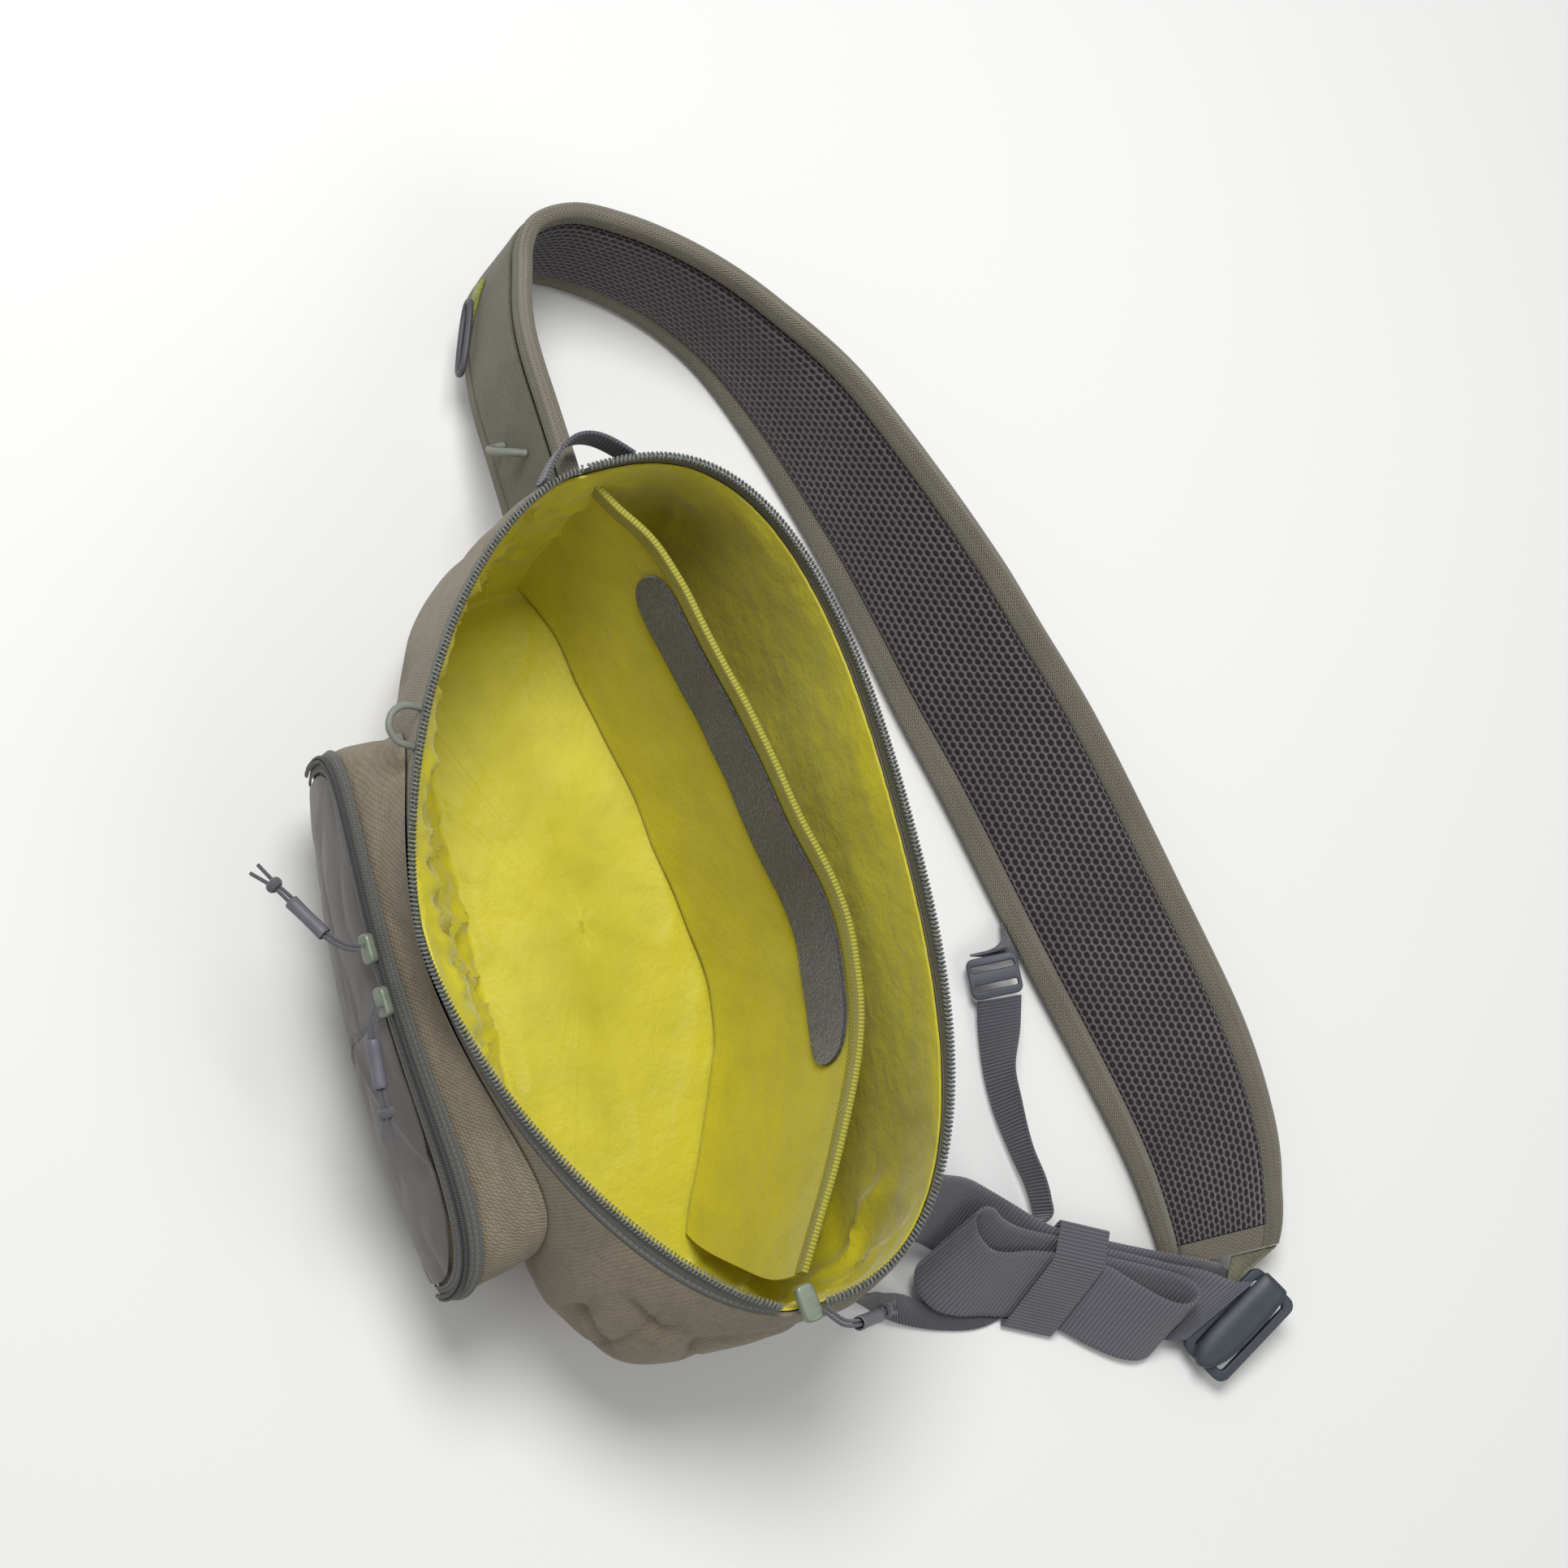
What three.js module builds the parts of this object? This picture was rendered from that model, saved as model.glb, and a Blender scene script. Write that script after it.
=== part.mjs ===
// Sling bag for tackle, standing open on its flat base, strap looped behind it.
// Millimetres. X runs along the bag, -Y is the pocket side, +Y the back, +Z up.
import * as THREE from 'three';

// Bag body
const BAG_LENGTH = 474;
const BAG_DEPTH = 200;
const RIM_END_HEIGHT = 188;
const RIM_FRONT_HEIGHT = 192;
const RIM_BACK_HEIGHT = 229;
const WALL = 2;
const GAP = 0.3;
const LINING_WALL = 1.2;

// Main zip
const TAPE_HEIGHT = 8;
const TAPE_THICK = 1.2;
const COIL_RADIUS = 2.3;
const SLIDER_LENGTH = 19;

// Inner pocket
const DIVIDER_HEIGHT = 166;
const DIVIDER_THICK = 1.4;
const BINDING_HEIGHT = 11;
const LOOP_STRIP_HEIGHT = 46;
const LOOP_STRIP_DROP = 3;

// Front pocket
const POCKET_LENGTH = 302;
const POCKET_HEIGHT = 168;
const POCKET_OUT = 149;
const POCKET_WALL = 1.6;

// Back panel
const PANEL_THICK = 13;

// Shoulder strap
const STRAP_WIDTH = 105;
const STRAP_THICK = 11;
const STRAP_BINDING = 16;
const STRAP_FACE = 2.4;

// Webbing and hardware
const WEBBING_WIDTH = 50;
const WEBBING_THICK = 1.9;
const THIN_WIDTH = 25;
const THIN_THICK = 1.8;
const CORD_RADIUS = 1;
const KEEPER_WIDTH = 30;
const KEEPER_STACK = 12.8;
const KEEPER_EASE = 5.2;
const KEEPER_RISE = 3.6;
const KEEPER_THICK = 1;
const LOCK_WIDTH = 30;
const LOCK_LENGTH = 24;
const LOCK_THICK = 5;
const POCKET_SLIDER_LENGTH = 15;
const POCKET_SLIDER_WIDTH = 10;
const POCKET_SLIDER_THICK = 5;
const MAIN_SLIDER_THICK = 7;

const RING_STEPS = 34;

// Rings of the bag body. far, near and the depths are shares of half the bag length and half
// the bag depth; the last four columns are the exponents of the rounded outline on the pocket
// side and on the back, each at the far end and at the buckle end.
const BODY_LEVELS = [
  { height: 0.00, far: 0.78, near: 0.80, front: 0.58, back: 0.68, shift: 0.00, ff: 4.0, fn: 4.0, bf: 4.0, bn: 4.0 },
  { height: 0.03, far: 0.83, near: 0.86, front: 0.68, back: 0.76, shift: 0.00, ff: 3.4, fn: 4.0, bf: 4.0, bn: 4.0 },
  { height: 0.12, far: 0.86, near: 0.91, front: 0.80, back: 0.85, shift: 0.00, ff: 2.7, fn: 4.2, bf: 4.2, bn: 4.2 },
  { height: 0.30, far: 0.88, near: 0.96, front: 0.93, back: 0.97, shift: 0.00, ff: 2.2, fn: 4.2, bf: 4.4, bn: 4.4 },
  { height: 0.50, far: 0.89, near: 1.00, front: 1.04, back: 1.06, shift: 0.02, ff: 2.0, fn: 4.2, bf: 4.2, bn: 4.2 },
  { height: 0.70, far: 0.89, near: 0.99, front: 1.16, back: 1.12, shift: 0.06, ff: 1.9, fn: 3.0, bf: 3.8, bn: 3.6 },
  { height: 0.85, far: 0.89, near: 0.965, front: 1.28, back: 1.15, shift: 0.10, ff: 1.8, fn: 2.1, bf: 3.2, bn: 3.0 },
  { height: 1.00, far: 0.88, near: 0.93, front: 1.41, back: 1.165, shift: 0.14, ff: 1.65, fn: 1.5, bf: 2.8, bn: 2.5 },
];

// Upper edge of the inner pocket, in shares of half the bag length and half the bag depth.
const DIVIDER_EDGE = [
  { along: -0.880, across: 0.24 },
  { along: -0.815, across: 0.34 },
  { along: -0.740, across: 0.45 },
  { along: -0.640, across: 0.53 },
  { along: -0.500, across: 0.63 },
  { along: -0.340, across: 0.73 },
  { along: -0.160, across: 0.83 },
  { along: 0.040, across: 0.91 },
  { along: 0.220, across: 0.94 },
  { along: 0.380, across: 0.89 },
  { along: 0.520, across: 0.76 },
  { along: 0.680, across: 0.56 },
  { along: 0.800, across: 0.37 },
  { along: 0.880, across: 0.25 },
];

// Outlines of the front pocket, from its mouth on the bag wall to the middle of its face.
// left and right are shares of the pocket length from its middle, top and foot are shares
// of its height from the floor of the bag, out is the share of the way to the face.
const POCKET_LEVELS = [
  { left: 0.460, right: 0.430, top: 1.080, foot: 0.110, out: 0.00 },
  { left: 0.462, right: 0.452, top: 1.040, foot: 0.110, out: 0.42 },
  { left: 0.460, right: 0.465, top: 0.950, foot: 0.125, out: 0.88 },
  { left: 0.436, right: 0.440, top: 0.850, foot: 0.160, out: 0.98 },
  { left: 0.390, right: 0.390, top: 0.800, foot: 0.230, out: 1.00 },
  { left: 0.260, right: 0.260, top: 0.700, foot: 0.350, out: 1.00 },
  { left: 0.120, right: 0.120, top: 0.600, foot: 0.460, out: 1.00 },
];

// Lower edge of the shoulder strap, from the bag round to the buckle. x is a share of half
// the bag length, y of the bag depth, z of the strap width; lean is in degrees from upright,
// width is a share of the strap width and skew turns the strap's own cross line, in degrees.
const STRAP_ROUTE = [
  { x: -0.955, y: 0.030, z: 0.590, lean: -5, width: 1.00, skew: 0 },
  { x: -1.080, y: 0.036, z: 0.500, lean: -5, width: 1.00, skew: 0 },
  { x: -1.220, y: 0.052, z: 0.350, lean: -5, width: 1.00, skew: 0 },
  { x: -1.335, y: 0.085, z: 0.200, lean: -5, width: 1.00, skew: 0 },
  { x: -1.440, y: 0.122, z: 0.080, lean: -6, width: 1.00, skew: 0 },
  { x: -1.520, y: 0.170, z: 0.020, lean: -5, width: 1.00, skew: 0 },
  { x: -1.566, y: 0.250, z: 0.010, lean: -2, width: 1.00, skew: 0 },
  { x: -1.558, y: 0.365, z: 0.010, lean: 1, width: 1.00, skew: 0 },
  { x: -1.510, y: 0.490, z: 0.010, lean: 2, width: 1.00, skew: 0 },
  { x: -1.440, y: 0.610, z: 0.010, lean: 3, width: 1.00, skew: 0 },
  { x: -1.350, y: 0.715, z: 0.010, lean: 5, width: 1.00, skew: 0 },
  { x: -1.230, y: 0.805, z: 0.010, lean: 9, width: 1.00, skew: 0 },
  { x: -1.030, y: 0.895, z: 0.010, lean: 19, width: 1.00, skew: 0 },
  { x: -0.740, y: 0.995, z: 0.010, lean: 28, width: 1.00, skew: 0 },
  { x: -0.520, y: 1.050, z: 0.010, lean: 37, width: 1.00, skew: 0 },
  { x: -0.325, y: 1.095, z: 0.010, lean: 45, width: 0.99, skew: 0 },
  { x: -0.060, y: 1.170, z: 0.010, lean: 55, width: 0.98, skew: 0 },
  { x: 0.335, y: 1.270, z: 0.010, lean: 63, width: 0.97, skew: 0 },
  { x: 0.690, y: 1.372, z: 0.010, lean: 68, width: 0.94, skew: 0 },
  { x: 0.900, y: 1.423, z: 0.010, lean: 71, width: 0.87, skew: 0 },
  { x: 1.060, y: 1.440, z: 0.020, lean: 74, width: 0.77, skew: 1 },
  { x: 1.161, y: 1.440, z: 0.030, lean: 75, width: 0.66, skew: -2 },
];

// Lower edge of the wide webbing, from the bag to under the buckle. x is a share of half the
// bag length, y of the bag depth, z of the webbing width; lean is in degrees from upright and
// heading is where it leans to, in degrees from the X axis.
const WEBBING_ROUTE = [
  { x: 0.806, y: 0.437, z: 1.160, lean: 30, heading: 142 },
  { x: 0.882, y: 0.610, z: 0.720, lean: 42, heading: 140 },
  { x: 0.924, y: 0.708, z: 0.440, lean: 48, heading: 139 },
  { x: 0.975, y: 0.785, z: 0.260, lean: 50, heading: 139 },
  { x: 1.028, y: 0.858, z: 0.160, lean: 50, heading: 139 },
  { x: 1.072, y: 0.915, z: 0.108, lean: 50, heading: 139 },
  { x: 1.114, y: 0.983, z: 0.100, lean: 50, heading: 139 },
  { x: 1.165, y: 1.099, z: 0.100, lean: 50, heading: 139 },
  { x: 1.215, y: 1.215, z: 0.088, lean: 52, heading: 137 },
  { x: 1.259, y: 1.320, z: 0.068, lean: 57, heading: 132 },
  { x: 1.287, y: 1.375, z: 0.056, lean: 67, heading: 127 },
  { x: 1.312, y: 1.420, z: 0.048, lean: 82, heading: 122 },
  { x: 1.363, y: 1.480, z: 0.044, lean: 87, heading: 121 },
  { x: 1.422, y: 1.530, z: 0.048, lean: 88, heading: 121 },
];

// Lower edge of the folded free end, from the top of the buckle to its end in the keeper.
const SURPLUS_ROUTE = [
  { x: 1.331, y: 1.430, z: 0.350, lean: 74, heading: 116 },
  { x: 1.321, y: 1.383, z: 0.240, lean: 67, heading: 120 },
  { x: 1.291, y: 1.335, z: 0.140, lean: 56, heading: 131 },
  { x: 1.264, y: 1.280, z: 0.100, lean: 50, heading: 138 },
  { x: 1.230, y: 1.204, z: 0.100, lean: 50, heading: 139 },
  { x: 1.177, y: 1.083, z: 0.100, lean: 50, heading: 139 },
  { x: 1.120, y: 0.955, z: 0.100, lean: 50, heading: 139 },
  { x: 1.072, y: 0.850, z: 0.150, lean: 49, heading: 136 },
  { x: 1.025, y: 0.785, z: 0.240, lean: 47, heading: 131 },
  { x: 0.985, y: 0.750, z: 0.320, lean: 46, heading: 128 },
  { x: 0.968, y: 0.718, z: 0.360, lean: 45, heading: 126 },
  { x: 0.981, y: 0.688, z: 0.360, lean: 46, heading: 126 },
  { x: 1.004, y: 0.677, z: 0.320, lean: 49, heading: 125 },
  { x: 1.036, y: 0.682, z: 0.270, lean: 50, heading: 125 },
  { x: 1.086, y: 0.723, z: 0.180, lean: 51, heading: 129 },
  { x: 1.118, y: 0.790, z: 0.140, lean: 50, heading: 136 },
  { x: 1.135, y: 0.863, z: 0.110, lean: 50, heading: 139 },
  { x: 1.156, y: 0.935, z: 0.100, lean: 50, heading: 139 },
  { x: 1.188, y: 1.006, z: 0.100, lean: 50, heading: 139 },
  { x: 1.219, y: 1.077, z: 0.100, lean: 50, heading: 139 },
  { x: 1.277, y: 1.155, z: 0.100, lean: 48, heading: 139 },
  { x: 1.321, y: 1.222, z: 0.100, lean: 45, heading: 139 },
  { x: 1.344, y: 1.275, z: 0.100, lean: 43, heading: 139 },
  { x: 1.348, y: 1.315, z: 0.100, lean: 43, heading: 139 },
  { x: 1.338, y: 1.337, z: 0.100, lean: 45, heading: 139 },
  { x: 1.312, y: 1.325, z: 0.100, lean: 47, heading: 138 },
  { x: 1.282, y: 1.280, z: 0.100, lean: 48, heading: 138 },
  { x: 1.249, y: 1.205, z: 0.100, lean: 49, heading: 139 },
  { x: 1.197, y: 1.080, z: 0.100, lean: 50, heading: 139 },
  { x: 1.162, y: 1.002, z: 0.100, lean: 50, heading: 139 },
];

// Lower edge of the thin webbing, from its lock on the strap to the buckle end of the bag.
const THIN_ROUTE = [
  { x: 0.414, y: 1.100, z: 0.160, lean: -62, heading: -97 },
  { x: 0.483, y: 1.083, z: 0.120, lean: -50, heading: -95 },
  { x: 0.581, y: 1.067, z: 0.100, lean: -24, heading: -88 },
  { x: 0.681, y: 1.065, z: 0.100, lean: -20, heading: -70 },
  { x: 0.785, y: 1.079, z: 0.120, lean: -9, heading: -60 },
  { x: 0.859, y: 1.093, z: 0.140, lean: -6, heading: -80 },
  { x: 0.911, y: 1.097, z: 0.150, lean: -3, heading: -100 },
  { x: 0.949, y: 1.093, z: 0.140, lean: 0, heading: -110 },
  { x: 0.983, y: 1.067, z: 0.100, lean: 20, heading: -121 },
  { x: 1.017, y: 1.042, z: 0.060, lean: 46, heading: -121 },
  { x: 1.055, y: 1.015, z: 0.034, lean: 75, heading: -121 },
  { x: 1.105, y: 0.980, z: 0.026, lean: 88, heading: -121 },
  { x: 1.139, y: 0.950, z: 0.026, lean: 88, heading: -125 },
  { x: 1.160, y: 0.905, z: 0.028, lean: 86, heading: -130 },
  { x: 1.162, y: 0.830, z: 0.028, lean: 82, heading: -138 },
  { x: 1.139, y: 0.730, z: 0.032, lean: 75, heading: -150 },
  { x: 1.105, y: 0.640, z: 0.060, lean: 50, heading: -165 },
  { x: 1.063, y: 0.560, z: 0.180, lean: 28, heading: -180 },
  { x: 1.025, y: 0.500, z: 0.440, lean: 15, heading: -185 },
  { x: 0.996, y: 0.440, z: 0.760, lean: 5, heading: -190 },
  { x: 0.946, y: 0.322, z: 1.120, lean: 0, heading: -195 },
];

const UP = new THREE.Vector3(0, 0, 1);
const group = new THREE.Group();

function material(color, roughness, metalness = 0) {
  return new THREE.MeshStandardMaterial({ color, roughness, metalness });
}

function add(name, geometry, color, roughness, metalness) {
  const mesh = new THREE.Mesh(geometry, material(color, roughness, metalness));
  mesh.name = name;
  group.add(mesh);
  return mesh;
}

// Smooth value of one column of a table at a place given in its first column.
function smooth(rows, key, column, place) {
  const last = rows.length - 1;
  if (place <= rows[0][key]) return rows[0][column];
  if (place >= rows[last][key]) return rows[last][column];
  let i = 0;
  while (rows[i + 1][key] < place) i += 1;
  const slope = (j) => {
    const a = rows[Math.max(j - 1, 0)];
    const b = rows[Math.min(j + 1, last)];
    return (b[column] - a[column]) / (b[key] - a[key]);
  };
  const span = rows[i + 1][key] - rows[i][key];
  const t = (place - rows[i][key]) / span;
  const t2 = t * t;
  const t3 = t2 * t;
  return (2 * t3 - 3 * t2 + 1) * rows[i][column] + (t3 - 2 * t2 + t) * span * slope(i)
    + (3 * t2 - 2 * t3) * rows[i + 1][column] + (t3 - t2) * span * slope(i + 1);
}

function steps(from, to, count) {
  return Array.from({ length: count + 1 }, (_, i) => from + (to - from) * i / count);
}

// Turns lists of points and triangles into one closed body with its faces outwards.
function closedBody(points, triangles) {
  let volume = 0;
  for (const [a, b, c] of triangles) {
    const p = points[a];
    volume += p.dot(new THREE.Vector3().crossVectors(points[b], points[c]));
  }
  const index = [];
  for (const [a, b, c] of triangles) {
    if (volume < 0) index.push(a, c, b);
    else index.push(a, b, c);
  }
  const geometry = new THREE.BufferGeometry();
  const flat = points.flatMap((p) => [p.x, p.y, p.z]);
  geometry.setAttribute('position', new THREE.Float32BufferAttribute(flat, 3));
  geometry.setIndex(index);
  geometry.computeVertexNormals();
  return geometry;
}

// Skins a row of equal rings; the first and last are closed with a fan round their middle.
// From the ring numbered turned on, the rings come back the other way.
function skin(rings, turned = Infinity) {
  const n = rings[0].length;
  const points = rings.flat();
  const triangles = [];
  for (let k = 0; k < rings.length - 1; k += 1) {
    for (let i = 0; i < n; i += 1) {
      const j = (i + 1) % n;
      const [a, b, c, d] = [k * n + i, k * n + j, (k + 1) * n + j, (k + 1) * n + i];
      if (k < turned) triangles.push([a, b, c], [a, c, d]);
      else triangles.push([a, b, d], [b, c, d]);
    }
  }
  for (const [ring, base, side] of [[rings[0], 0, 1], [rings[rings.length - 1], (rings.length - 1) * n, -1]]) {
    const middle = ring.reduce((s, p) => s.add(p), new THREE.Vector3()).divideScalar(n);
    points.push(middle);
    const m = points.length - 1;
    for (let i = 0; i < n; i += 1) {
      const j = (i + 1) % n;
      triangles.push(side > 0 ? [m, base + j, base + i] : [m, base + i, base + j]);
    }
  }
  return closedBody(points, triangles);
}

// A layer that follows surface(u, v), between the offsets low and high along its normal.
function layer(surface, us, vs, low, high, ring = false) {
  const value = (f, u, v) => (typeof f === 'function' ? f(u, v) : f);
  const du = (us[us.length - 1] - us[0]) / 2000;
  const dv = (vs[vs.length - 1] - vs[0]) / 2000;
  const upper = [];
  const lower = [];
  for (const u of us) {
    for (const v of vs) {
      const a = surface(u + du, v).sub(surface(u - du, v));
      const b = surface(u, v + dv).sub(surface(u, v - dv));
      const normal = a.cross(b).normalize();
      upper.push(surface(u, v).addScaledVector(normal, value(high, u, v)));
      lower.push(surface(u, v).addScaledVector(normal, value(low, u, v)));
    }
  }
  const nu = us.length;
  const nv = vs.length;
  const points = [...upper, ...lower];
  const under = nu * nv;
  const at = (i, j) => (i % nu) * nv + j;
  const triangles = [];
  const across = ring ? nu : nu - 1;
  for (let i = 0; i < across; i += 1) {
    for (let j = 0; j < nv - 1; j += 1) {
      const [a, b, c, d] = [at(i, j), at(i + 1, j), at(i + 1, j + 1), at(i, j + 1)];
      triangles.push([a, b, c], [a, c, d]);
      triangles.push([under + a, under + c, under + b], [under + a, under + d, under + c]);
    }
    for (const [j, turn] of [[0, false], [nv - 1, true]]) {
      const [a, b] = turn ? [at(i + 1, j), at(i, j)] : [at(i, j), at(i + 1, j)];
      triangles.push([a, under + a, b], [b, under + a, under + b]);
    }
  }
  if (!ring) {
    for (let j = 0; j < nv - 1; j += 1) {
      for (const [i, turn] of [[0, true], [nu - 1, false]]) {
        const [a, b] = turn ? [at(i, j + 1), at(i, j)] : [at(i, j), at(i, j + 1)];
        triangles.push([a, under + a, b], [b, under + a, under + b]);
      }
    }
  }
  return closedBody(points, triangles);
}

function roundOutline(radius, sides) {
  return new THREE.Shape(Array.from({ length: sides }, (_, i) => {
    const angle = Math.PI * 2 * i / sides;
    return new THREE.Vector2(radius * Math.cos(angle), radius * Math.sin(angle));
  }));
}

// A round bar along a route of points.
function bar(route, radius, sides = 8, perSpan = 3) {
  const curve = new THREE.CatmullRomCurve3(route, false, 'centripetal');
  const outline = roundOutline(radius, sides);
  return new THREE.ExtrudeGeometry(outline, {
    steps: (route.length - 1) * perSpan,
    extrudePath: curve,
    bevelEnabled: false,
  });
}

// Distance from the middle to a rounded square outline in the direction c, s.
function rounded(c, s, power) {
  return (Math.abs(c) ** power + Math.abs(s) ** power) ** (-1 / power);
}

// Bag body
function rimHeight(angle) {
  const s = Math.sin(angle);
  const top = s > 0 ? RIM_BACK_HEIGHT : RIM_FRONT_HEIGHT;
  const lift = s > 0 ? s : s * s;
  return RIM_END_HEIGHT + (top - RIM_END_HEIGHT) * lift;
}

function bodyPoint(angle, share, inset = 0) {
  const get = (column) => smooth(BODY_LEVELS, 'height', column, share);
  const c = Math.cos(angle);
  const s = Math.sin(angle);
  const near = 0.5 + 0.5 * c;
  const half = BAG_DEPTH / 2;
  const middle = get('shift') * half;
  const round = s > 0 ? get('bf') * (1 - near) + get('bn') * near : get('ff') * (1 - near) + get('fn') * near;
  const depth = (s > 0 ? get('back') * half - middle : get('front') * half) - inset;
  const reach = get(c > 0 ? 'near' : 'far') * BAG_LENGTH / 2 - inset;
  const r = rounded(c, s, round);
  return new THREE.Vector3(reach * c * r, middle + depth * s * r, rimHeight(angle) * share);
}

// Point of the wall at a given x and z, on the pocket side (-1) or at the back (1).
function wallPoint(x, z, side, inset = 0) {
  let angle = side * Math.PI / 2;
  let share = z / rimHeight(angle);
  for (let k = 0; k < 6; k += 1) {
    const probe = (a) => bodyPoint(a, share, inset).x - x;
    let low = side > 0 ? 0 : -Math.PI;
    let high = side > 0 ? Math.PI : 0;
    for (let i = 0; i < 30; i += 1) {
      const middle = (low + high) / 2;
      const positive = probe(middle) > 0;
      if (positive === (side > 0)) low = middle;
      else high = middle;
    }
    angle = (low + high) / 2;
    share = z / rimHeight(angle);
  }
  return bodyPoint(angle, share, inset);
}

// Point of the end wall at a given y and z, at the far end (-1) or the buckle end (1).
function endWall(y, z, side) {
  let best = bodyPoint(side > 0 ? 0 : Math.PI, z / RIM_END_HEIGHT);
  let low = side > 0 ? -Math.PI / 2 : Math.PI / 2;
  let high = side > 0 ? Math.PI / 2 : Math.PI * 1.5;
  for (let i = 0; i < 40; i += 1) {
    const middle = (low + high) / 2;
    best = bodyPoint(middle, z / rimHeight(middle));
    if ((best.y < y) === (side > 0)) low = middle;
    else high = middle;
  }
  return best;
}

const bodyTop = 1 - TAPE_HEIGHT / RIM_FRONT_HEIGHT;

function hollow(shares, inset, wall, floorHeight) {
  const ring = (share, depth, lift = 0) => steps(0, Math.PI * 2, RING_STEPS).slice(0, RING_STEPS)
    .map((angle) => {
      const p = bodyPoint(angle, share, depth);
      p.z = Math.max(p.z, lift);
      return p;
    });
  const outer = shares.map((share, i) => ring(share, inset, i === 0 ? floorHeight : 0));
  const inner = shares.map((share, i) => ring(share, inset + wall, i === 0 ? floorHeight + wall : 0));
  return skin([...outer, ...inner.reverse()], shares.length);
}

const bodyShares = [0, 0.03, 0.12, 0.3, 0.5, 0.7, 0.85, bodyTop];
add('body_shell', hollow(bodyShares, 0, WALL, 0), 0x8c826e, 0.9);
const liningShares = [...bodyShares];
add('lining', hollow(liningShares, WALL + 0.5, LINING_WALL, WALL + 0.5), 0xc8be28, 0.6);

// Main zip
const sliderTurn = SLIDER_LENGTH / BAG_LENGTH * 2.2;
const farTurn = 0.012;
const halves = {
  back: steps(sliderTurn, Math.PI - farTurn, 26),
  front: steps(Math.PI + farTurn, Math.PI * 2 - sliderTurn, 26),
};

function rimPoint(angle, lift, inset) {
  const p = bodyPoint(angle, 1, inset);
  p.z += lift;
  return p;
}

for (const side of ['front', 'back']) {
  const foot = (angle) => {
    const p = bodyPoint(angle, bodyTop, WALL / 2);
    p.z += 3 * GAP;
    return p;
  };
  const band = (angle, v) => foot(angle).lerp(rimPoint(angle, 0, WALL / 2), v);
  const tape = layer(band, halves[side], [0, 1], -TAPE_THICK / 2, TAPE_THICK / 2);
  add(`zip_tape_${side}`, tape, 0x5c5e5a, 0.85);
  const rings = halves[side].map((angle) => {
    const p = rimPoint(angle, COIL_RADIUS + GAP, WALL / 2);
    const along = rimPoint(angle + 0.001, 0, 0).sub(rimPoint(angle - 0.001, 0, 0)).normalize();
    const out = new THREE.Vector3().crossVectors(along, new THREE.Vector3(0, 0, 1)).normalize();
    const up = new THREE.Vector3().crossVectors(out, along);
    return steps(0, Math.PI * 2, 6).slice(0, 6).map((turn) => p.clone()
      .addScaledVector(out, COIL_RADIUS * Math.cos(turn))
      .addScaledVector(up, COIL_RADIUS * Math.sin(turn)));
  });
  add(`zip_coil_${side}`, skin(rings), 0x6e7672, 0.5);
}

// Inner pocket
const dividerRoute = new THREE.CatmullRomCurve3(DIVIDER_EDGE.map((row) => new THREE.Vector3(
  row.along * BAG_LENGTH / 2, row.across * BAG_DEPTH / 2, DIVIDER_HEIGHT)), false, 'centripetal');

function divider(u, v) {
  const top = dividerRoute.getPoint(Math.min(Math.max(u, 0), 1));
  const foot = WALL + LINING_WALL + 4;
  const z = foot + (DIVIDER_HEIGHT - foot) * v;
  const ratio = (column) => smooth(BODY_LEVELS, 'height', column, z / RIM_BACK_HEIGHT)
    / smooth(BODY_LEVELS, 'height', column, DIVIDER_HEIGHT / RIM_BACK_HEIGHT);
  return new THREE.Vector3(top.x * ratio(top.x > 0 ? 'near' : 'far') * 0.985, top.y * ratio('back'), z);
}

const bindingShare = 1 - BINDING_HEIGHT / DIVIDER_HEIGHT;
add('inner_pocket', layer(divider, steps(0, 1, 28), steps(0, bindingShare, 4),
  -DIVIDER_THICK / 2, DIVIDER_THICK / 2), 0xc8be28, 0.6);
add('inner_pocket_binding', layer(divider, steps(0, 1, 28), [bindingShare + GAP / DIVIDER_HEIGHT, 1],
  -DIVIDER_THICK, DIVIDER_THICK), 0xbcb43c, 0.75);
const stripTop = bindingShare - LOOP_STRIP_DROP / DIVIDER_HEIGHT;
const stripFoot = stripTop - LOOP_STRIP_HEIGHT / DIVIDER_HEIGHT;
add('loop_strip', layer(divider, steps(0.2, 0.74, 18), [stripFoot, stripTop],
  DIVIDER_THICK / 2 + 3 * GAP, DIVIDER_THICK / 2 + 3 * GAP + 1.6), 0x4b4b4e, 0.95);

// Front pocket
const pocketMiddle = new THREE.Vector3(0.14 * BAG_LENGTH / 2, 0, POCKET_HEIGHT * 0.53);

function pocketFace(x, z) {
  const off = (x - pocketMiddle.x) / (POCKET_LENGTH / 2);
  const crown = POCKET_OUT - 0.105 * POCKET_OUT * off * off;
  const rise = (z - 0.53 * POCKET_HEIGHT) / POCKET_HEIGHT;
  const back = rise > 0 ? (0.62 + 0.42 * off) * rise * rise : 0.75 * rise * rise;
  return -crown + back * POCKET_OUT;
}

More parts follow.
